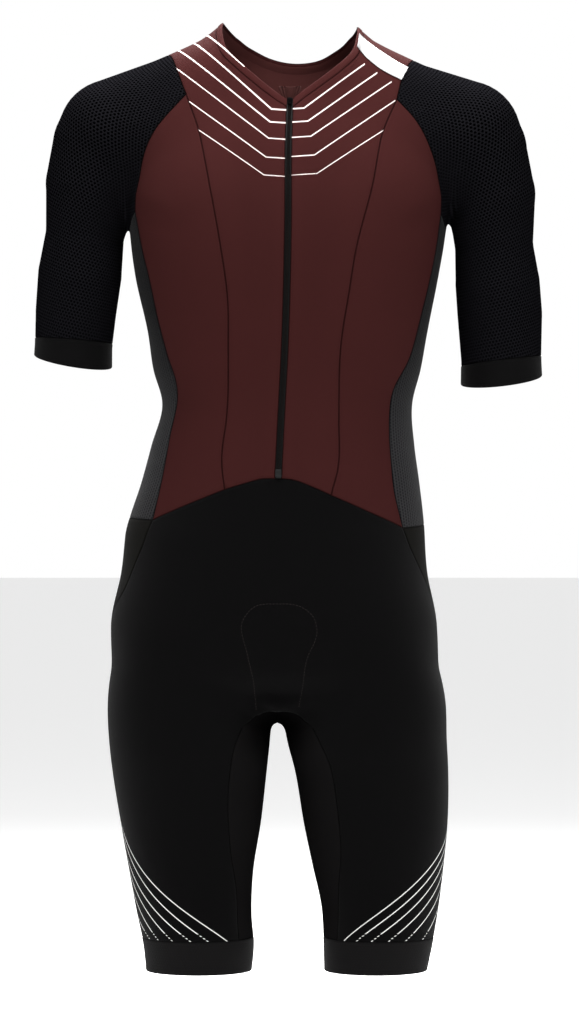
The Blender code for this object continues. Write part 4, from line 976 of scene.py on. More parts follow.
def make_sleeve(seams, side, wearer, finishes):
    """Short sleeve from the sleeve seam to the cuff seam, and its cuff."""
    armhole = armhole_of(seams[side])
    rings = sleeve_rings(armhole, side)
    tube = cubic_finer(np.concatenate([rings[-3:-1], rings, rings[1:3]]))[2 * FINE:-2 * FINE]
    tube = tube + falling(tube.shape[1])[0][:, None] * (armhole - tube[:, 0])[:, None]
    tube[:, 1:] = settle(tube[:, 1:], 3)
    tube[:, 0] = armhole
    under = (SLEEVE_UPPER + SLEEVE_LOWER + UNDERARM // 2) * FINE
    tube = np.concatenate([tube[under:-1], tube[:under + 1]])
    tube[-1] = tube[0]
    shell(f"sleeve_{wearer}", [with_edges(tube, "tb", flat=laid_flat(tube))], "mesh",
          [finishes["mesh"], finishes["mesh_inside"]])
    cuff_seam = tube[:, -1]
    edge = CUFF_EDGE[side]
    free = cuff_seam.copy()
    for _ in range(4):
        inward = (edge["x"] - free[:, 0]) * side
        forward = ARM[side]["rows"][-1, 1] - free[:, 1]
        free[:, 2] = edge["z"] - inward * edge["inward"] - forward * edge["forward"]
        free = settle(free)
    share = np.linspace(0, 1, 2 * FINE + 1)[None, :, None]
    cuff = settle((1 - share) * cuff_seam[:, None] + share * free[:, None], 4)
    cuff[:, 0], cuff[-1] = cuff_seam, cuff[0]
    shell(f"cuff_{wearer}", [with_edges(cuff, "tb")], "band", [finishes["cuff"], finishes["band_inside"]],
          BAND_CLOTH - PROUD, PROUD)


def make_shorts(seams, finishes):
    """Front of the shorts over both thighs, the two backs, the inner legs and the leg bands."""
    fronts = []
    for side, wearer in SIDES:
        seam = seams[side]
        waist = np.vstack([seam["waist_side"], seam["waist_middle"][1:]])
        share = np.linspace(0, 1, FINE + 1)[:, None]
        waist[-FINE - 1:] = settle((1 - share) * waist[-FINE - 1] + share * seam["front_middle"][0])
        inner_edge = np.vstack([seam["front_middle"], seam["inner_front"][1:]])
        front = patch(seam["hip"], inner_edge, waist, seam["band_front"], shorts_middle(side))
        fronts.append(with_edges(front, origin=(0, -1), joined=SHORTS_UPPER * FINE))
        waist = np.vstack([seam["waist_hip"], seam["waist_back"][1:]])
        inner_edge = np.vstack([seam["back_middle"], seam["inner_back"][1:]])
        back = patch(seam["hip"], inner_edge, waist, seam["band_back"], shorts_middle(side))
        shell(f"shorts_back_{wearer}", [with_edges(back, origin=(0, -1))], "black",
              [finishes["black_hip"], finishes["black_inside"]])
        inner = patch(seam["inner_front"], seam["inner_back"], seam["crotch"], seam["band_inner"],
                      shorts_middle(side))
        shell(f"inner_leg_{wearer}", [with_edges(inner, origin=(0, -1))], "black",
              [finishes["black_inner"], finishes["black_inside"]])
        ring = np.vstack([seam["band_front"], seam["band_inner"][1:], seam["band_back"][-2::-1]])
        centre = np.column_stack([np.repeat(middle_of(LEG[side], [HEM_Z]), len(ring), 0),
                                  np.full(len(ring), HEM_Z)])
        heading = ring - centre
        heading[:, 2] = 0
        hem = meet(centre, heading, reach=0.12)
        share = np.linspace(0, 1, 2 * FINE + 1)[None, :, None]
        band = settle((1 - share) * ring[:, None] + share * hem[:, None], 4)
        band[:, 0], band[:, -1] = ring, hem
        band[-1] = band[0]
        shell(f"leg_band_{wearer}", [with_edges(band, "tb")], "band",
              [finishes["band"], finishes["band_inside"]], BAND_CLOTH - PROUD, PROUD)
    shell("shorts_front", fronts, "black", [finishes["thigh_lines"], finishes["black_inside"]])


# ---- swept and repeated pieces -------------------------------------------------------------------
def turned_out(places, faces):
    """Faces of a closed piece, turned over if the volume they enclose comes out below 0."""
    a, b, c, d = places[faces].transpose(1, 0, 2)
    volume = (a * (np.cross(b, c) + np.cross(c, d))).sum()
    return faces if volume > 0 else faces[:, ::-1]


def carried(profile, path, across, above):
    """A closed profile carried along a path: path + first x across + second x above, and its faces.

    The ends are closed by squares that fold the profile flat: corner i is joined to its mirror.
    """
    profile = np.array(profile, float)
    places = path[:, None] + profile[:, :1] * across[:, None] + profile[:, 1:] * above[:, None]
    count, around_it = len(path), len(profile)
    ring = np.arange(around_it)
    following = (ring + 1) % around_it
    start = (np.arange(count - 1) * around_it)[:, None]
    sides = np.stack([start + ring, start + following, start + around_it + following,
                      start + around_it + ring], axis=2).reshape(-1, 4)
    half = around_it // 2 - 1
    low = np.arange(half)
    cap = np.column_stack([low, low + 1, around_it - 2 - low, around_it - 1 - low])
    last = (count - 1) * around_it
    faces = np.vstack([sides, cap, last + cap[:, ::-1]])
    places = places.reshape(-1, 3)
    return places, turned_out(places, faces)


def pebble(size, power, columns, rows):
    """A rounded block round the origin, by its size: a ball whose sines and cosines take the power.

    Each of cos and sin is replaced by its sign x its size to the power 2 / power: 2 is a ball and more
    is squarer.
    """
    def bent(wave):
        return np.sign(wave) * np.abs(wave) ** (2 / power)
    turn = np.linspace(0, 2 * np.pi, columns + 1)[:-1, None]
    rise = np.linspace(-np.pi / 2, np.pi / 2, rows + 1)[None, 1:-1]
    side = np.stack(np.broadcast_arrays(bent(np.cos(rise)) * bent(np.cos(turn)),
                                        bent(np.cos(rise)) * bent(np.sin(turn)), bent(np.sin(rise))), 2)
    places = np.vstack([side.reshape(-1, 3), [[0, 0, -1], [0, 0, 1]]]) * np.array(size) / 2
    levels = rows - 1
    index = np.arange(columns * levels).reshape(columns, levels)
    following = np.roll(index, -1, axis=0)
    sides = np.stack([index[:, :-1], following[:, :-1], following[:, 1:], index[:, 1:]], 2)
    sides = sides.reshape(-1, 4)
    foot, top = columns * levels, columns * levels + 1
    pairs = np.arange(0, columns, 2)
    one, two, three = (index[(pairs + step) % columns] for step in (0, 1, 2))
    feet = np.column_stack([three[:, 0], two[:, 0], one[:, 0], np.full(len(pairs), foot)])
    tops = np.column_stack([one[:, -1], two[:, -1], three[:, -1], np.full(len(pairs), top)])
    return places, turned_out(places, np.vstack([sides, feet, tops]))


def repeated(shape, centres, first, second, third):
    """Copies of a small shape: centre + x first + y second + z third, each copy with its own axes."""
    places, faces = shape
    axes = np.stack([first, second, third], axis=1)
    every = centres[:, None] + places @ axes
    shift = (np.arange(len(centres)) * len(places))[:, None, None]
    return every.reshape(-1, 3), (faces[None] + shift).reshape(-1, 4)


def along_path(line, pitch, start=0.0):
    """Places at an even pitch along a line, and the line's unit heading at each."""
    run = run_of(line)
    at = np.arange(start, run[-1], pitch)
    places = np.stack([np.interp(at, run, line[:, axis]) for axis in range(3)], 1)
    heading = np.stack([np.interp(at, run, np.gradient(line, axis=0)[:, axis]) for axis in range(3)], 1)
    return places, unit(heading)


# The neck binding's section: share of its width from the seam to the edge, and height over the form. Its
# last places lie behind the panels, as the seam allowance does.
BINDING_SECTION = [(0.00, -0.0005), (0.08, 0.0000), (0.25, 0.0003), (0.55, 0.00035), (0.80, 0.0002),
                   (0.94, -0.0001), (1.00, -0.0007), (1.00, -0.0013), (0.92, -0.0019), (0.55, -0.0021),
                   (0.15, -0.0020), (-0.60, -0.0014), (-0.50, -0.0011), (0.00, -0.0011)]


# At the back, the binding's folded edge is painted near black: painted shade on its rim.
BINDING_BACK = 0.004  # y behind which the binding's edge has a material of its own


def binding_faces(edge, count):
    """Which material each face of the binding takes: outer, inner, and the back edge's painted shade."""
    behind = edge[:-1, 1] > BINDING_BACK
    rows = np.zeros((len(edge) - 1, len(BINDING_SECTION)), int)
    rows[:, 7:13] = 1
    rows[behind, 5:8] = 2
    rows[behind, 8] = 0
    index = np.zeros(count, int)
    index[:rows.size] = rows.ravel()
    return index


def make_neck_binding(seams, finishes):
    """Folded strip round the neckline: its section carried from the zip round the back to the zip."""
    seam = np.vstack([seams[-1]["neck"], seams[-1]["neck_back"][1:], seams[1]["neck"][-2::-1]])
    upward = unit(np.cross(np.gradient(seam, axis=0), outward(seam)))
    edge = seam + BINDING_WIDTH * upward
    for end, side in ((0, -1), (-1, 1)):
        edge[end] = zip_place(ZIP_LINE[0][1], side * ZIP_WIDTH / 2)[0]
    near_end = np.minimum(np.arange(len(seam)), np.arange(len(seam))[::-1])
    for end, rows in ((0, slice(0, FINE + 1)), (-1, slice(-1, -FINE - 2, -1))):
        share = (near_end[rows] / FINE)[:, None]
        edge[rows] = (1 - share) * (edge[end] + (seam[rows] - seam[end])) + share * edge[rows]
    edge[1:-1] = settle(edge[1:-1])
    seam = seam + SEAM_GAP / 2 * upward
    width = np.linalg.norm(edge - seam, axis=1, keepdims=True)
    across = unit(edge - seam) * (width - SEAM_GAP / 2)
    places, faces = carried(BINDING_SECTION, seam, across, outward((seam + edge) / 2))
    piece = add_piece("neck_binding_cloth", places, faces, "maroon",
                      [finishes["binding"], finishes["maroon_inside"], finishes["binding_edge"]], sharp=70)
    piece.data.polygons.foreach_set("material_index", binding_faces(edge, len(faces)))
    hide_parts("neck_binding")
    section = np.array(BINDING_SECTION) * [BINDING_WIDTH, 1]
    run = run_of(seam)
    flat = np.column_stack([np.repeat(run, len(section)), np.tile(run_of(section), len(seam))])
    piece.data.uv_layers.new(name="cloth").data.foreach_set("uv", flat[faces].ravel())


def make_shoulder_tape(finishes):
    """Plain white tape on the wearer's left shoulder; the fold at its neck end is only painted shade."""
    upper, lower = (curve(on_front(SHOULDER_TAPE[edge]), 6) for edge in ("upper", "lower"))
    share = np.linspace(0, 1, 2 * FINE + 1)[None, :, None]
    grid = settle((1 - share) * upper[:, None] + share * lower[:, None], 4)
    shell("shoulder_tape", [with_edges(grid)], "white", [finishes["white"]], -SHOULDER_TAPE_LIFT,
          SHOULDER_TAPE_LIFT + SHOULDER_TAPE_CLOTH, pull=0.0, roll=0.0003)


TOOTH = (0.0021, 0.00078, 0.0012)  # width, height and thickness of one turn of the coil
TOOTH_PITCH = 0.00125
TOOTH_OFF = 0.00066                # from the zip's middle line to a row's
TOOTH_START = 0.0012               # from the top of the chain to the first tooth
TOOTH_LEAN = 0.16                  # how far a tooth leans up the chain for its width
TOOTH_RAISED = 0.00045             # its middle over the form


def make_zip(strips, finishes):
    """The zip: two woven tapes, the chain's ground with two interlocked rows of teeth, slider and stop."""
    rows = strips[-1][0]
    middle = zip_place(rows[:, 2])
    depth = CLOTH + SEAM_GAP
    for side, wearer in SIDES:
        grid = with_edges(np.concatenate([middle[None], strips[side]]), "lrtb", origin=(0, 0))
        shell(f"zip_tape_{wearer}", [grid], "zip", [finishes["zip_weave"]], depth + ZIP_TAPE_CLOTH, -depth,
              roll=0.0)
    line = np.vstack([zip_place(ZIP_LINE[0][1]), middle])
    above = outward(line)
    across = unit(np.cross(np.gradient(line, axis=0), above))
    half = ZIP_WIDTH / 2 - SEAM_GAP / 2
    ground = [(-half, -CLOTH), (-half, -0.0002), (-0.8 * half, 0.0001),
              (0.8 * half, 0.0001), (half, -0.0002), (half, -CLOTH)]
    places, faces = carried(ground, line, across, above)
    piece = add_piece("zip_ground", places, faces, "zip", [finishes["zip_weave"]])
    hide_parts("zip_coil")
    bar = pebble(TOOTH, 2.6, 6, 5)
    meshes = []
    for side in (-1, 1):
        centre, heading = along_path(line, TOOTH_PITCH, TOOTH_START + (side > 0) * TOOTH_PITCH / 2)
        normal = outward(centre)
        sideways = unit(np.cross(heading, normal))
        lean = unit(sideways + TOOTH_LEAN * side * heading)
        centre = centre + side * TOOTH_OFF * sideways + TOOTH_RAISED * normal
        meshes.append(repeated(bar, centre, lean, unit(np.cross(normal, lean)), normal))
    piece = add_piece("zip_teeth", *joined_shapes(meshes), "zip", [finishes["teeth"]], sharp=80)
    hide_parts("zip_coil")
    make_slider(finishes)
    make_zip_guard(finishes)
    make_stop(finishes)


def standing(shape, place, lift):
    """A shape laid on the chain: its x across the zip, its y out of the cloth, its z up the zip."""
    places, faces = shape
    normal = outward(place[None])[0]
    up = unit(np.array([0, 0, 1]) - normal[2] * normal)
    sideways = np.cross(up, normal)
    return place + normal * lift + places @ np.stack([sideways, normal, up]), faces


def joined_shapes(shapes):
    """Several shapes as one set of places and faces."""
    firsts = np.cumsum([0] + [len(places) for places, _ in shapes[:-1]])
    return (np.vstack([places for places, _ in shapes]),
            np.vstack([faces + first for (_, faces), first in zip(shapes, firsts)]))


def make_slider(finishes):
    """Slider: a shield-shaped body that narrows to its foot, a crown over it and a short hanging tab."""
    width, height, thickness = SLIDER
    place = zip_place(ZIP_LINE[0][1] - SLIDER_DROP)[0]
    base = ZIP_RAISED + SEAM_GAP
    body, body_faces = pebble((width, 0.62 * thickness, height), 3.2, 32, 18)
    body[:, 0] *= 0.74 + 0.10 * np.clip(2 * body[:, 2] / height, -1, 1)
    crown, crown_faces = pebble((0.34 * width, 0.5 * thickness, 0.62 * height), 2.4, 24, 14)
    crown[:, 2] += 0.12 * height
    tab, tab_faces = pebble((0.5 * width, 0.24 * thickness, 0.66 * height), 3.4, 24, 14)
    tab[:, 2] -= 0.15 * height
    shapes = [standing((body, body_faces), place, base + 0.31 * thickness),
              standing((crown, crown_faces), place, base + 0.75 * thickness),
              standing((tab, tab_faces), place, base + 0.7 * thickness)]
    piece = add_piece("zip_slider_body", *joined_shapes(shapes), "metal", [finishes["slider"]], sharp=60)
    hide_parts("zip_slider")


ZIP_GUARD = (0.026, 0.0014, 0.020)          # width at the top, thickness and height
GUARD_CREASES = (-0.72, -0.45, 0.50, 0.78)  # their places across, in half widths


def make_zip_guard(finishes):
    """Fold of cloth behind the top of the zip: a thin block narrowed to its foot, with upright creases.

    A crease pushes the block back by 2.2 mm x exp(-(way off it / 0.085)^2) x rise, and the top edge is
    raised at its ends by the square of the way across.
    """
    width, thickness, height = ZIP_GUARD
    places, faces = pebble((width, thickness, height), 5.0, 96, 20)
    across = 2 * places[:, 0] / width
    rise = places[:, 2] / height + 0.5
    for crease in GUARD_CREASES:
        places[:, 1] += 0.0022 * np.exp(-((across - crease) / 0.085) ** 2) * rise
    places[:, 2] += 0.0022 * (across**2 - 0.6) * rise
    places[:, 0] *= 0.34 + 0.66 * rise
    middle = zip_place(ZIP_LINE[0][1])[0] + np.array([0.0002, 0.0040, 0.0030])
    add_piece("zip_guard", middle + places, faces, "maroon", [finishes["guard"]], sharp=60)


def make_stop(finishes):
    """Bottom stop: a small squared clamp with two lower ridges across it."""
    width, height, thickness = STOP
    place = zip_place(ZIP_FOOT + height / 2 + 0.0005)[0]
    base = ZIP_RAISED + SEAM_GAP
    clamp = pebble((width, 0.8 * thickness, height), 5.0, 24, 14)
    shapes = [standing(clamp, place, base + 0.4 * thickness)]
    for share in (-0.24, 0.24):
        ridge, faces = pebble((0.84 * width, 0.5 * thickness, 0.2 * height), 2.6, 20, 10)
        ridge[:, 2] += share * height
        shapes.append(standing((ridge, faces), place, base + 0.75 * thickness))
    piece = add_piece("zip_stop_body", *joined_shapes(shapes), "metal", [finishes["stop"]], sharp=60)
    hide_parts("zip_stop")


STITCH = (0.0021, 0.00055, 0.00045)  # a stitch's length, width and height
STITCH_PITCH = 1.55 * STITCH[0]


def make_pad_stitches(finishes):
    """The row of stitches that holds the seat pad, laid on the front of the shorts."""
    line = on_front(PAD_EDGE)
    run = run_of(line)
    line = settle(smooth(np.linspace(0, run[-1], 160), run, line))
    centre, heading = along_path(line, STITCH_PITCH, 0.001)
    normal = outward(centre)
    centre = centre + (relief(centre, normal) + 0.0001)[:, None] * normal
    shape = pebble(STITCH, 2.3, 6, 5)
    places, faces = repeated(shape, centre, heading, np.cross(normal, heading), normal)
    add_piece("pad_stitches", places, faces, "black", [finishes["thread"]], sharp=80)


# ---- shader parts --------------------------------------------------------------------------------
# Heights in metres that the shaders raise or sink.
LOOP_RISE = 0.00005       # a knit loop
PRINT_RISE = 0.00008      # a printed line
SEWN_RISE = 0.00012       # a stitch beside an edge
BAND_SEWN_RISE = 0.00014  # the same on a band
GRIPPER_RISE = 0.00006    # a gripper dot
COAT_RISE = 0.00003       # grain of a small hard part
# Where soft edges begin and end, in metres, and for a stitch's ends in shares of half its pitch.
ROW_EDGE = (0.0002, 0.0004)     # off the middle of a row of stitches
STITCH_ENDS = (0.2, 0.35)
SEAM_SHADE_EDGE = (0.0002, 0.0014)  # off a piece's edge
LINE_SOFT = 0.00018             # on either side of a chevron's edge
LINE_GROWS = 60.0               # share of its width that a chevron gains per metre outwards


def feed(tree, sockets, sources):
    """Fill inputs in order by numbers, colours or other outputs; None leaves one as it is."""
    for socket, source in zip(sockets, sources):
        if isinstance(source, bpy.types.NodeSocket):
            tree.links.new(source, socket)
        elif source is not None:
            socket.default_value = source


def node(tree, kind, *sources, output=0, **settings):
    """A node with its settings and its inputs filled in order; one of its outputs."""
    made = tree.nodes.new("ShaderNode" + kind)
    for name, value in settings.items():
        setattr(made, name, value)
    feed(tree, made.inputs, sources)
    return made.outputs[output]


def calc(tree, operation, *sources):
    """A sum, product or other step on numbers."""
    return node(tree, "Math", *sources, operation=operation)


def remainder(tree, share):
    """What a share leaves of 1."""
    return calc(tree, "SUBTRACT", 1.0, share)


def axis_of(tree, vector, at):
    """A vector's x, y or z, by 0, 1 or 2."""
    return node(tree, "SeparateXYZ", vector, output=at)


def vector_calc(tree, operation, *sources, output=0):
    """A step on vectors; output 1 is its length or distance."""
    return node(tree, "VectorMath", *sources, operation=operation, output=output)


def soft_step(tree, value, low, high):
    """0 at low and 1 at high, easing between."""
    return node(tree, "MapRange", value, low, high, 0.0, 1.0, interpolation_type="SMOOTHSTEP")


def mixed(tree, factor, one, other):
    """Two colours mixed by a factor."""
    mix = tree.nodes.new("ShaderNodeMix")
    mix.data_type = "RGBA"
    feed(tree, (mix.inputs[0], mix.inputs[6], mix.inputs[7]), (factor, one, other))
    return mix.outputs[2]


def toned(tree, base, cover, strength, colour):
    """A base under a colour, which covers it by the cover x the strength."""
    return mixed(tree, calc(tree, "MULTIPLY", cover, strength), base, colour)


def new_group(name, inputs, outputs):
    """A shader node group with sockets: inputs by name, kind and value, outputs by name, all numbers."""
    tree = bpy.data.node_groups.new(name, "ShaderNodeTree")
    for label, kind, value in inputs:
        socket = tree.interface.new_socket(label, in_out="INPUT", socket_type="NodeSocket" + kind)
        socket.default_value = value
    for label in outputs:
        tree.interface.new_socket(label, in_out="OUTPUT", socket_type="NodeSocketFloat")
    enter = tree.nodes.new("NodeGroupInput")
    leave = tree.nodes.new("NodeGroupOutput")
    return tree, enter.outputs, leave.inputs


def use_group(tree, group, *sources):
    """A group as a node, its inputs filled in order; its outputs."""
    made = tree.nodes.new("ShaderNodeGroup")
    made.node_tree = group
    feed(tree, made.inputs, sources)
    return made.outputs


def jersey_group():
    """Fine jersey: wales across and courses along, as height in metres and shade.

    Height: cos(turn x width / wale) x (0.6 + 0.4 cos(turn x (length + half of the way off the wale) /
    course)), where a turn is 2 pi.
    """
    tree, given, result = new_group(
        "fine_jersey", [("Cloth", "Vector", (0, 0, 0)), ("Wale", "Float", 0.0007),
                        ("Course", "Float", 0.0006)], ["Height", "Shade"])
    width, length = (axis_of(tree, given["Cloth"], at) for at in (0, 1))
    off = calc(tree, "PINGPONG", width, calc(tree, "MULTIPLY", given["Wale"], 0.5))
    wales = calc(tree, "DIVIDE", width, given["Wale"])
    rib = calc(tree, "COSINE", calc(tree, "MULTIPLY", wales, 2 * np.pi))
    row = calc(tree, "DIVIDE", calc(tree, "MULTIPLY_ADD", off, 0.9, length), given["Course"])
    loop = calc(tree, "COSINE", calc(tree, "MULTIPLY", row, 2 * np.pi))
    wave = calc(tree, "MULTIPLY", rib, calc(tree, "MULTIPLY_ADD", loop, 0.4, 0.6))
    tree.links.new(calc(tree, "MULTIPLY", wave, LOOP_RISE), result["Height"])
    tree.links.new(calc(tree, "MULTIPLY_ADD", wave, 0.5, 0.5), result["Shade"])
    return tree


def net_group():
    """Staggered round dents, as a hexagon net has, by their pitch across and along.

    A place's way to the nearer of two centres, one at the corner and one in the middle of a repeating
    rectangle, over the pitch across: the net rises from 0 at Dent to 1 at Rim.
    """
    tree, given, result = new_group(
        "staggered_net", [("Cloth", "Vector", (0, 0, 0)), ("Across", "Float", 0.0037),
                          ("Along", "Float", 0.0064), ("Dent", "Float", 0.26), ("Rim", "Float", 0.44)],
        ["Rise"])
    pitch = node(tree, "CombineXYZ", given["Across"], given["Along"], 1.0)
    place = vector_calc(tree, "DIVIDE", given["Cloth"], pitch)
    ways = []
    for shift in (0.0, 0.5):
        moved = vector_calc(tree, "ADD", place, (shift, shift, 0.0))
        cell = vector_calc(tree, "WRAP", moved, (0.5, 0.5, 0.5), (-0.5, -0.5, -0.5))
        sized = vector_calc(tree, "MULTIPLY", cell, pitch)
        sized = vector_calc(tree, "MULTIPLY", sized, (1.0, 1.0, 0.0))
        ways.append(vector_calc(tree, "LENGTH", sized, output=1))
    way = calc(tree, "DIVIDE", calc(tree, "MINIMUM", *ways), given["Across"])
    rise = node(tree, "MapRange", way, given["Dent"], given["Rim"], 0.0, 1.0,
                interpolation_type="SMOOTHSTEP")
    tree.links.new(rise, result["Rise"])
    return tree


def seam_group():
    """Sewing beside an open edge: a painted shade in the seam, and a row of short stitches along it.

    A stitch shows where the way to the edge is near its row, and the run along the edge, wrapped to the
    stitch's pitch, is within its length.
    """
    tree, given, result = new_group(
        "sewn_edge", [("Cloth", "Vector", (0, 0, 0)), ("Way", "Vector", (1, 1, 1)),
                      ("Row", "Float", 0.0026), ("Pitch", "Float", 0.0026)], ["Stitch", "Groove"])
    width, length = (axis_of(tree, given["Cloth"], at) for at in (0, 1))
    across, along = (axis_of(tree, given["Way"], at) for at in (0, 1))
    rows = []
    for way, run in ((across, length), (along, width)):
        off_row = calc(tree, "ABSOLUTE", calc(tree, "SUBTRACT", way, given["Row"]))
        on_row = remainder(tree, soft_step(tree, off_row, *ROW_EDGE))
        half = calc(tree, "MULTIPLY", given["Pitch"], 0.5)
        from_middle = calc(tree, "PINGPONG", run, half)
        in_stitch = soft_step(tree, calc(tree, "DIVIDE", from_middle, half), *STITCH_ENDS)
        rows.append(calc(tree, "MULTIPLY", on_row, in_stitch))
    tree.links.new(calc(tree, "MAXIMUM", *rows), result["Stitch"])
    nearest = calc(tree, "MINIMUM", across, along)
    # Painted shade of the seam: darkest at the edge, fading inwards.
    painted_seam_shade = remainder(tree, soft_step(tree, nearest, *SEAM_SHADE_EDGE))
    tree.links.new(painted_seam_shade, result["Groove"])
    return tree


def chevron_group():
    """One printed line seen from the front: level beside the zip, climbing outwards from its knee.

    Way off the line: |z - knee z - slope x out + fall x in| over the slope's length, where out and in are
    how far the place is outside and inside of the knee.
    """
    tree, given, result = new_group(
        "chevron_line", [("X", "Float", 0.0), ("Z", "Float", 0.0), ("Side", "Float", 1.0),
                         ("Knee X", "Float", 0.0), ("Knee Z", "Float", 0.0), ("Slope", "Float", 0.7),
                         ("Level", "Float", 2.0), ("End X", "Float", 0.2), ("Half", "Float", 0.0008)],
        ["Line"])
    off = calc(tree, "MULTIPLY", calc(tree, "SUBTRACT", given["X"], given["Knee X"]), given["Side"])
    out = calc(tree, "MAXIMUM", off, 0.0)
    within = calc(tree, "MINIMUM", off, 0.0)
    height = calc(tree, "MULTIPLY_ADD", out, given["Slope"], given["Knee Z"])
    height = calc(tree, "MULTIPLY_ADD", within, LEVEL_FALL, height)
    steep = calc(tree, "MULTIPLY", given["Slope"], calc(tree, "GREATER_THAN", off, 0.0))
    long = calc(tree, "SQRT", calc(tree, "MULTIPLY_ADD", steep, steep, 1.0))
    way = calc(tree, "DIVIDE", calc(tree, "ABSOLUTE", calc(tree, "SUBTRACT", given["Z"], height)), long)
    thin = node(tree, "Clamp", calc(tree, "MULTIPLY_ADD", off, LINE_GROWS, given["Level"]), 0.0, 1.0)
    thinned = calc(tree, "MULTIPLY", remainder(tree, thin), given["Half"])
    way = calc(tree, "ADD", way, thinned)
    edges = [calc(tree, "ADD", given["Half"], soft) for soft in (-LINE_SOFT, LINE_SOFT)]
    line = remainder(tree, soft_step(tree, way, *edges))
    left = calc(tree, "MULTIPLY", calc(tree, "SUBTRACT", given["End X"], given["X"]), given["Side"])
    tree.links.new(calc(tree, "MULTIPLY", line, calc(tree, "GREATER_THAN", left, 0.0)), result["Line"])
    return tree


def thigh_group():
    """One printed line on the thigh, on one side of the suit: run = end - slope x rise + bend x rise^2.

    Run is the way from the side seam and rise the way up from the leg band. The lowest stretch is broken
    into dots where Dots is 1. Above THIGH_TOP there is no line, because the bend would bring it back.
    """
    tree, given, result = new_group(
        "thigh_line", [("Run", "Float", 0.0), ("Rise", "Float", 0.0), ("End", "Float", 0.1),
                       ("Slope", "Float", 1.0), ("Bend", "Float", 0.0), ("Dots", "Float", 1.0)], ["Line"])
    curved = calc(tree, "MULTIPLY", given["Bend"], given["Rise"])
    nearer = calc(tree, "MULTIPLY", calc(tree, "SUBTRACT", curved, given["Slope"]), given["Rise"])
    off = calc(tree, "SUBTRACT", given["Run"], calc(tree, "ADD", given["End"], nearer))
    steep = calc(tree, "MULTIPLY_ADD", curved, 2.0, calc(tree, "MULTIPLY", given["Slope"], -1.0))
    long = calc(tree, "SQRT", calc(tree, "MULTIPLY_ADD", steep, steep, 1.0))
    way = calc(tree, "DIVIDE", calc(tree, "ABSOLUTE", off), long)
    line = remainder(tree, soft_step(tree, way, *THIGH_LINE_EDGE))
    low = calc(tree, "MULTIPLY", calc(tree, "LESS_THAN", given["Rise"], DOTTED_RISE), given["Dots"])
    dots = calc(tree, "GREATER_THAN", calc(tree, "PINGPONG", given["Rise"], DOT_PITCH / 2), DOT_GAP / 2)
    broken = calc(tree, "MAXIMUM", remainder(tree, low), dots)
    broken = calc(tree, "MULTIPLY", broken, calc(tree, "LESS_THAN", given["Rise"], THIGH_TOP))
    tree.links.new(calc(tree, "MULTIPLY", line, broken), result["Line"])
    return tree


def tone_group():
    """Slow unevenness of a dyed cloth: two noises, one of 6 cm and one of 4 mm, by Object coordinates."""
    tree, given, result = new_group("dye_tone", [("Place", "Vector", (0, 0, 0))], ["Tone"])
    wide = node(tree, "TexNoise", given["Place"], None, 16.0, 3.0, 0.55)
    close = node(tree, "TexNoise", given["Place"], None, 260.0, 2.0, 0.5)
    total = calc(tree, "ADD", calc(tree, "MULTIPLY", wide, 0.7), calc(tree, "MULTIPLY", close, 0.3))
    tree.links.new(total, result["Tone"])
    return tree


# ---- finishes ------------------------------------------------------------------------------------
def new_finish(name, roughness, specular, sheen=0.0):
    """A material with its even gloss set: the material, its node tree and its shader."""
    material = bpy.data.materials.new(name)
    material.use_nodes = True
    tree = material.node_tree
    shader = tree.nodes["Principled BSDF"]
    shader.inputs["Roughness"].default_value = roughness
    shader.inputs["Specular IOR Level"].default_value = specular
    shader.inputs["Sheen Weight"].default_value = sheen
    shader.inputs["Sheen Roughness"].default_value = 0.5
    return material, tree, shader


def rgb(red, green, blue):
    """An opaque colour."""
    return (red, green, blue, 1.0)


def times(share, colour):
    """A colour made darker or lighter by a share."""
    return rgb(*(share * part for part in colour[:3]))


def object_place(tree):
    """Object coordinates: places in metres in the suit's own frame."""
    return node(tree, "TexCoord", output=3)


def cloth_map(tree):
    """The cloth's own width and length in metres."""
    return node(tree, "UVMap", uv_map="cloth")


def edge_way(tree):
    """The ways to the two nearest open edges, kept on the mesh by shell()."""
    return node(tree, "Attribute", attribute_name="edge_way", output=1)


def dress(tree, shader, base, height):
    """Give the shader its colour, and a height in metres as its normal."""
    tree.links.new(base, shader.inputs["Base Color"])
    made = tree.nodes.new("ShaderNodeBump")
    made.inputs["Strength"].default_value = 1.0
    made.inputs["Distance"].default_value = 1.0
    tree.links.new(height, made.inputs["Height"])
    tree.links.new(made.outputs[0], shader.inputs["Normal"])


def jersey_finish(name, groups, colour, deep, roughness, specular, sheen, lines=None, line_colour=None,
                  sewn=True, painted_shade=None):
    """Smooth stretch jersey: dyed tone, knit loops, stitches, prints, painted shade in seams and a fold."""
    material, tree, shader = new_finish(name, roughness, specular, sheen)
    tone = use_group(tree, groups["tone"], object_place(tree))[0]
    loops = use_group(tree, groups["jersey"], cloth_map(tree))
    base = mixed(tree, tone, deep, colour)
    base = toned(tree, base, remainder(tree, loops["Shade"]), 0.22, deep)
    height = loops["Height"]
    if sewn:
        sewing = use_group(tree, groups["seam"], cloth_map(tree), edge_way(tree))
        dark = times(0.25, deep)
        # Painted shade in the seam's groove.
        base = toned(tree, base, sewing["Groove"], 0.80, dark)
        base = toned(tree, base, sewing["Stitch"], 0.15, dark)
        height = calc(tree, "MULTIPLY_ADD", sewing["Stitch"], SEWN_RISE, height)
    # A given shade paints the cloth darker, as painted shade, and makes it rougher there.
    if painted_shade:
        fold = painted_shade(tree)
        base = mixed(tree, fold, base, times(0.2, deep))
        rougher = calc(tree, "MULTIPLY_ADD", fold, 1.0 - roughness, roughness)
        tree.links.new(rougher, shader.inputs["Roughness"])
    if lines:
        cover = lines(tree)
        base = mixed(tree, cover, base, line_colour)
        height = calc(tree, "MULTIPLY_ADD", cover, PRINT_RISE, height)
    dress(tree, shader, base, height)
    return material


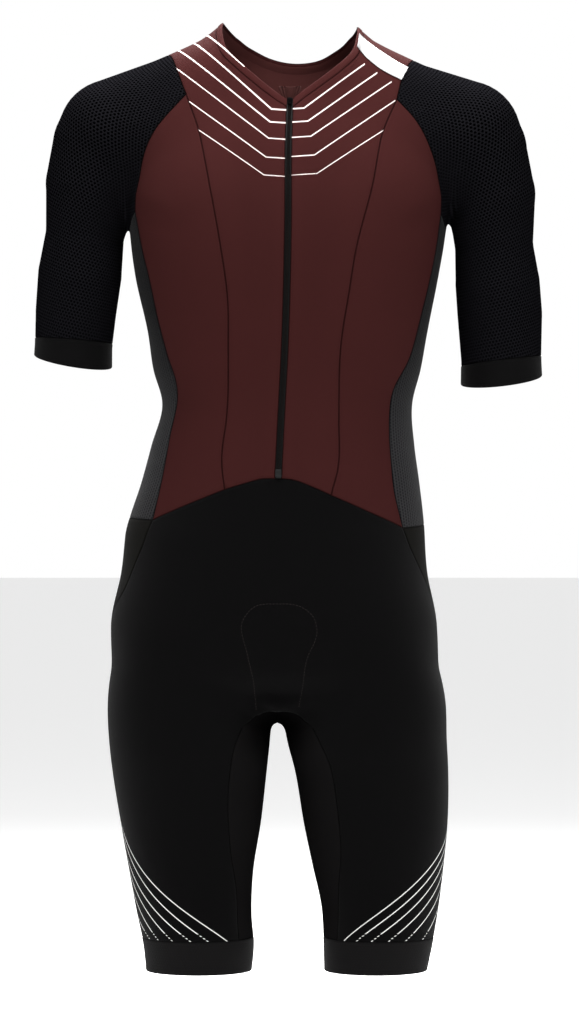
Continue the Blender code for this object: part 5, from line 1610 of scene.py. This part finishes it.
def crotch_painted_shade(tree):
    """Painted shade in the fold between the legs, by a place's way from the arch seen from the front."""
    place = vector_calc(tree, "MULTIPLY", object_place(tree), (1.0, 0.0, 1.0))
    way = vector_calc(tree, "DISTANCE", place, (CROTCH_PLACE[0], 0.0, CROTCH_PLACE[1]), output=1)
    return remainder(tree, soft_step(tree, way, CROTCH_PAINTED_SHADE[1], CROTCH_PAINTED_SHADE[0]))


def chevron_lines(groups, side):
    """The cover of all chevron lines on one side: the greatest of its lines."""
    def cover(tree):
        place = object_place(tree)
        x, z = (axis_of(tree, place, at) for at in (0, 2))
        total = 0.0
        for row in CHEVRONS[side]["rows"]:
            line = use_group(tree, groups["chevron"], x, z, float(side), *map(float, row))[0]
            total = calc(tree, "MAXIMUM", total, line)
        front = axis_of(tree, place, 1)
        return calc(tree, "MULTIPLY", total, calc(tree, "LESS_THAN", front, PRINTED_FRONT))
    return cover


def thigh_lines(groups):
    """The cover of all thigh lines: the greatest of its side's lines."""
    def cover(tree):
        run, rise = (axis_of(tree, cloth_map(tree), at) for at in (0, 1))
        rise = calc(tree, "MULTIPLY", rise, -1.0)
        run = calc(tree, "ABSOLUTE", run)
        across = axis_of(tree, object_place(tree), 0)
        left = calc(tree, "GREATER_THAN", across, CROTCH_MIDDLE)
        total = 0.0
        for side, on_it in ((-1, remainder(tree, left)), (1, left)):
            for number, row in enumerate(THIGH_LINES[side]["rows"]):
                dots = float(number > 0)
                line = use_group(tree, groups["thigh"], run, rise, *map(float, row), dots)[0]
                total = calc(tree, "MAXIMUM", total, calc(tree, "MULTIPLY", line, on_it))
        return total
    return cover


def net_finish(name, groups, net, thread, dent, roughness, depth, sheen, specular, painted_shade_heights=None):
    """Open knit: raised threads round dark dents; painted shade in seams and above two heights."""
    material, tree, shader = new_finish(name, roughness, specular, sheen)
    rise = use_group(tree, groups["net"], cloth_map(tree), *net)["Rise"]
    tone = use_group(tree, groups["tone"], object_place(tree))[0]
    loops = use_group(tree, groups["jersey"], cloth_map(tree), 0.0006, 0.0005)
    lit = toned(tree, thread, tone, 0.6, times(0.55, thread))
    base = mixed(tree, rise, dent, lit)
    # Painted shade: the knit darkens towards the dent colour from the lower height up to the higher.
    if painted_shade_heights:
        painted_underarm_shade = soft_step(tree, axis_of(tree, object_place(tree), 2), *painted_shade_heights)
        base = toned(tree, base, painted_underarm_shade, 0.92, dent)
    sewing = use_group(tree, groups["seam"], cloth_map(tree), edge_way(tree))
    # Painted shade in the seam's groove.
    base = toned(tree, base, sewing["Groove"], 0.9, rgb(0.002, 0.002, 0.002))
    height = calc(tree, "MULTIPLY_ADD", rise, depth, loops["Height"])
    height = calc(tree, "MULTIPLY_ADD", sewing["Stitch"], SEWN_RISE, height)
    dress(tree, shader, base, height)
    return material


def band_finish(name, groups, colour, deep):
    """Doubled plain band: jersey with fine gripper dots that catch a little light."""
    material, tree, shader = new_finish(name, 0.72, 0.02, 0.01)
    loops = use_group(tree, groups["jersey"], cloth_map(tree))
    rise = use_group(tree, groups["net"], cloth_map(tree), 0.0032, 0.0055, 0.12, 0.2)["Rise"]
    tone = use_group(tree, groups["tone"], object_place(tree))[0]
    sewing = use_group(tree, groups["seam"], cloth_map(tree), edge_way(tree), 0.0030, 0.0028)
    base = mixed(tree, tone, deep, colour)
    base = toned(tree, base, remainder(tree, rise), 0.4, times(1.8, colour))
    # Painted shade in the seam's groove.
    base = toned(tree, base, sewing["Groove"], 0.5, rgb(0.001, 0.001, 0.001))
    height = calc(tree, "MULTIPLY_ADD", rise, -GRIPPER_RISE, loops["Height"])
    height = calc(tree, "MULTIPLY_ADD", sewing["Stitch"], BAND_SEWN_RISE, height)
    dress(tree, shader, base, height)
    return material


def weave_finish(name, groups, colour, deep, wale, course):
    """Plain woven tape: a close, even grain."""
    material, tree, shader = new_finish(name, 0.6, 0.08, 0.02)
    loops = use_group(tree, groups["jersey"], cloth_map(tree), wale, course)
    tone = use_group(tree, groups["tone"], object_place(tree))[0]
    base = mixed(tree, loops["Shade"], deep, colour)
    base = toned(tree, base, tone, 0.25, deep)
    dress(tree, shader, base, loops["Height"])
    return material


def tape_finish(name, groups, colour, deep, wale, course):
    """White tape with the fold's grey painted as shade at its neck end, by the Object coordinate across."""
    material = weave_finish(name, groups, colour, deep, wale, course)
    tree = material.node_tree
    shader = tree.nodes["Principled BSDF"]
    across = axis_of(tree, object_place(tree), 0)
    # Painted shade of the fold, darkest at the tape's neck end.
    fold = remainder(tree, soft_step(tree, across, *TAPE_FOLD_SHADE))
    woven = shader.inputs["Base Color"].links[0].from_socket
    shaded = toned(tree, woven, fold, 0.72, rgb(0.10, 0.09, 0.09))
    tree.links.new(shaded, shader.inputs["Base Color"])
    return material


def hard_finish(name, groups, colour, deep, roughness, specular):
    """Moulded or coated small part: worn tone and a fine grain."""
    material, tree, shader = new_finish(name, roughness, specular)
    place = object_place(tree)
    tone = use_group(tree, groups["tone"], place)[0]
    fine = node(tree, "TexNoise", place, None, 900.0, 2.0, 0.5)
    tree.links.new(calc(tree, "MULTIPLY_ADD", fine, 0.2, roughness - 0.1), shader.inputs["Roughness"])
    dress(tree, shader, mixed(tree, tone, deep, colour), calc(tree, "MULTIPLY", fine, COAT_RISE))
    return material


def make_finishes():
    """Every finish of the suit, by name."""
    groups = {"tone": tone_group(), "jersey": jersey_group(), "net": net_group(), "seam": seam_group(),
              "chevron": chevron_group(), "thigh": thigh_group()}
    maroon, maroon_deep = rgb(0.0375, 0.0100, 0.0097), rgb(0.0305, 0.0084, 0.0080)
    black, black_deep = rgb(0.0027, 0.0026, 0.0027), rgb(0.0021, 0.0020, 0.0021)
    # The inside maroon is painted about two and a half times lighter than the outer: painted light, where
    # little light reaches.
    inside, inside_deep = rgb(0.092, 0.029, 0.027), rgb(0.076, 0.024, 0.022)
    white = rgb(0.66, 0.58, 0.56)
    soft = (0.85, 0.01, 0.0)
    finishes = {
        "maroon": jersey_finish("maroon_jersey", groups, maroon, maroon_deep, *soft),
        "maroon_inside": jersey_finish("maroon_jersey_inside", groups, inside, inside_deep,
                                       0.8, 0.03, 0.02, sewn=False),
        "binding": jersey_finish("maroon_binding", groups, maroon, maroon_deep, *soft,
                                 binding_lines(groups), white, sewn=False),
        # Near black: painted shade on the binding's rim at the back.
        "binding_edge": jersey_finish("maroon_binding_edge", groups, rgb(0.006, 0.002, 0.002),
                                      rgb(0.004, 0.0015, 0.0015), 0.8, 0.03, 0.0, sewn=False),
        "black_inner": jersey_finish("black_inner_jersey", groups, rgb(0.0062, 0.0058, 0.0059),
                                     rgb(0.0050, 0.0047, 0.0048), 0.8, 0.0, 0.0, painted_shade=crotch_painted_shade),
        "black_inside": jersey_finish("black_jersey_inside", groups, rgb(0.0052, 0.0050, 0.0052),
                                      rgb(0.0042, 0.0040, 0.0042), 0.8, 0.03, 0.02, sewn=False),
        "black_hip": jersey_finish("black_hip_jersey", groups, rgb(0.0046, 0.0044, 0.0036),
                                   rgb(0.0036, 0.0034, 0.0028), 0.8, 0.015, 0.01),
        "thigh_lines": jersey_finish("black_jersey_lined", groups, black, black_deep, 0.72, 0.012, 0.02,
                                     thigh_lines(groups), rgb(0.70, 0.70, 0.68), painted_shade=crotch_painted_shade),
        # The side knit's last two numbers are the heights of its painted shade towards the underarm.
        "side_knit": net_finish("side_knit", groups, (0.0080, 0.0030, 0.06, 0.20),
                                rgb(0.0230, 0.0225, 0.0240), rgb(0.0016, 0.0016, 0.0018),
                                0.8, 0.00025, 0.03, 0.012, (-0.42, -0.27)),
        "mesh": net_finish("sleeve_mesh", groups, (0.0036, 0.0062, 0.21, 0.42),
                           rgb(0.0066, 0.0064, 0.0077), rgb(0.0002, 0.0002, 0.0003),
                           0.8, 0.0003, 0.0, 0.0),
        "mesh_inside": net_finish("sleeve_mesh_inside", groups, (0.0037, 0.0064, 0.22, 0.42),
                                  rgb(0.004, 0.004, 0.005), rgb(0.0008, 0.0008, 0.001),
                                  0.8, 0.00015, 0.02, 0.03),
        "band": band_finish("gripper_band", groups, rgb(0.0064, 0.0061, 0.0062),
                            rgb(0.0050, 0.0048, 0.0049)),
        "cuff": band_finish("cuff_band", groups, rgb(0.0034, 0.0033, 0.0034),
                            rgb(0.0024, 0.0023, 0.0024)),
        "band_inside": band_finish("gripper_band_inside", groups, rgb(0.006, 0.006, 0.006),
                                   rgb(0.004, 0.004, 0.004)),
        "guard": jersey_finish("maroon_guard", groups, rgb(0.034, 0.011, 0.010),
                               rgb(0.028, 0.009, 0.008), 0.8, 0.03, 0.02, sewn=False),
        "white": tape_finish("white_tape", groups, rgb(0.52, 0.52, 0.52), rgb(0.46, 0.46, 0.46),
                             0.0008, 0.0008),
        "zip_weave": weave_finish("zip_weave", groups, rgb(0.0008, 0.0007, 0.0007),
                                  rgb(0.0004, 0.0004, 0.0004), 0.0009, 0.0007),
        "teeth": hard_finish("coil_teeth", groups, rgb(0.0075, 0.0055, 0.0050),
                             rgb(0.004, 0.0032, 0.0030), 0.7, 0.05),
        "slider": hard_finish("coated_slider", groups, rgb(0.0008, 0.0008, 0.0008),
                              rgb(0.0004, 0.0004, 0.0004), 0.55, 0.008),
        "stop": hard_finish("grey_stop", groups, rgb(0.026, 0.027, 0.027),
                            rgb(0.006, 0.006, 0.006), 0.6, 0.02),
        "thread": hard_finish("black_thread", groups, rgb(0.030, 0.024, 0.023),
                              rgb(0.012, 0.009, 0.009), 0.7, 0.1),
    }
    for side, wearer in SIDES:
        finishes[f"chevrons_{wearer}"] = jersey_finish(
            f"maroon_jersey_lined_{wearer}", groups, maroon, maroon_deep, *soft,
            chevron_lines(groups, side), white)
    return finishes


def binding_lines(groups):
    """The chevrons' cover on the neck binding: the right side's, on the fold's outer face alone."""
    def cover(tree):
        round_it = axis_of(tree, cloth_map(tree), 1)
        outer = calc(tree, "LESS_THAN", round_it, 1.02 * BINDING_WIDTH)
        right = calc(tree, "LESS_THAN", axis_of(tree, object_place(tree), 0), 0.0)
        cover_all = calc(tree, "MULTIPLY", chevron_lines(groups, -1)(tree), outer)
        return calc(tree, "MULTIPLY", cover_all, right)
    return cover


# ---- stage: floor, light and camera --------------------------------------------------------------
FLOOR_Z = -1.02
CAMERA_AWAY = 4.5        # in front of the suit
CAMERA_Z = -0.4655
FRAME = (579, 1011)
MILLIMETRES_SEEN = 1.0   # per pixel, in the suit's middle plane
SENSOR = 36.0
FLOOR_EDGE = 30.0        # half the floor's width
# Going back from one y to another, the floor glows more and the world's light grows: from and to.
FLOOR_GLOW = (0.1, 0.45, 0.0, 0.36)
WORLD_LIGHT = (0.1, 0.7, 0.3, 1.0)
# The lamps: name, place, the point that each faces, width and watts.
LAMPS = [("key", (-0.25, -1.10, 1.15), (0, 0, -0.12), 0.8, 13),
         ("top", (0.0, -0.30, 1.15), (0, 0, 0), 0.8, 46),
         ("back", (0.0, 0.95, 1.15), (0, 0, 0), 0.8, 110),
         ("fill", (1.0, -3.0, -0.1), (0, 0, -0.5), 1.4, 30)]


def make_floor():
    """A plain pale floor, well below the hanging suit, that glows a little behind it."""
    mesh = bpy.data.meshes.new("floor")
    signs = ((-1, -1), (1, -1), (1, 1), (-1, 1))
    corners = [(x * FLOOR_EDGE, y * FLOOR_EDGE, FLOOR_Z) for x, y in signs]
    mesh.from_pydata(corners, [], [(0, 1, 2, 3)])
    floor = bpy.data.objects.new("floor", mesh)
    bpy.context.scene.collection.objects.link(floor)
    material, tree, shader = new_finish("pale_floor", 0.9, 0.1)
    grain = node(tree, "TexNoise", object_place(tree), None, 40.0, 3.0, 0.5)
    pale = mixed(tree, grain, rgb(0.90, 0.90, 0.90), rgb(0.94, 0.94, 0.94))
    tree.links.new(pale, shader.inputs["Base Color"])
    shader.inputs["Emission Color"].default_value = (1, 1, 1, 1)
    behind = axis_of(tree, object_place(tree), 1)
    glow = node(tree, "MapRange", behind, *FLOOR_GLOW, interpolation_type="SMOOTHSTEP")
    tree.links.new(glow, shader.inputs["Emission Strength"])
    mesh.materials.append(material)


def make_light(name, place, aim, size, power):
    """A soft square lamp that faces a point."""
    lamp = bpy.data.lights.new(name, "AREA")
    lamp.shape = "SQUARE"
    lamp.size = size
    lamp.energy = power
    light = bpy.data.objects.new(name, lamp)
    bpy.context.scene.collection.objects.link(light)
    light.location = place
    light.visible_camera = False
    away = np.array(place) - np.array(aim)
    light.rotation_euler = (np.arctan2(np.hypot(away[0], away[1]), away[2]), 0,
                            np.arctan2(away[0], -away[1]))


def make_stage():
    """The world, dimmer to the front than behind, the floor, the lamps and the camera."""
    scene = bpy.context.scene
    scene.view_settings.view_transform = "Standard"
    scene.view_settings.look = "None"
    world = bpy.data.worlds.new("studio")
    world.use_nodes = True
    tree = world.node_tree
    backdrop = tree.nodes["Background"]
    backdrop.inputs[0].default_value = (1, 1, 1, 1)
    behind = axis_of(tree, node(tree, "TexCoord"), 1)
    strength = node(tree, "MapRange", behind, *WORLD_LIGHT, interpolation_type="SMOOTHSTEP")
    tree.links.new(strength, backdrop.inputs[1])
    scene.world = world
    make_floor()
    for lamp in LAMPS:
        make_light(*lamp)
    camera_data = bpy.data.cameras.new("camera")
    camera_data.sensor_width = SENSOR
    camera_data.lens = SENSOR * CAMERA_AWAY / (FRAME[1] * MILLIMETRES_SEEN / 1000)
    camera_data.clip_end = 100
    camera = bpy.data.objects.new("camera", camera_data)
    camera.location = (0, -CAMERA_AWAY, CAMERA_Z)
    camera.rotation_euler = (np.pi / 2, 0, 0)
    scene.collection.objects.link(camera)
    scene.camera = camera


def main():
    """Build the stage, the finishes and every piece."""
    make_stage()
    finishes = make_finishes()
    seams = lay_seams()
    strips = {side: make_front(seams, side, wearer, finishes) for side, wearer in SIDES}
    make_back(seams, finishes)
    for side, wearer in SIDES:
        make_side_panel(seams, side, wearer, finishes)
        make_sleeve(seams, side, wearer, finishes)
    make_neck_binding(seams, finishes)
    make_shoulder_tape(finishes)
    make_zip(strips, finishes)
    make_shorts(seams, finishes)
    make_pad_stitches(finishes)


main()
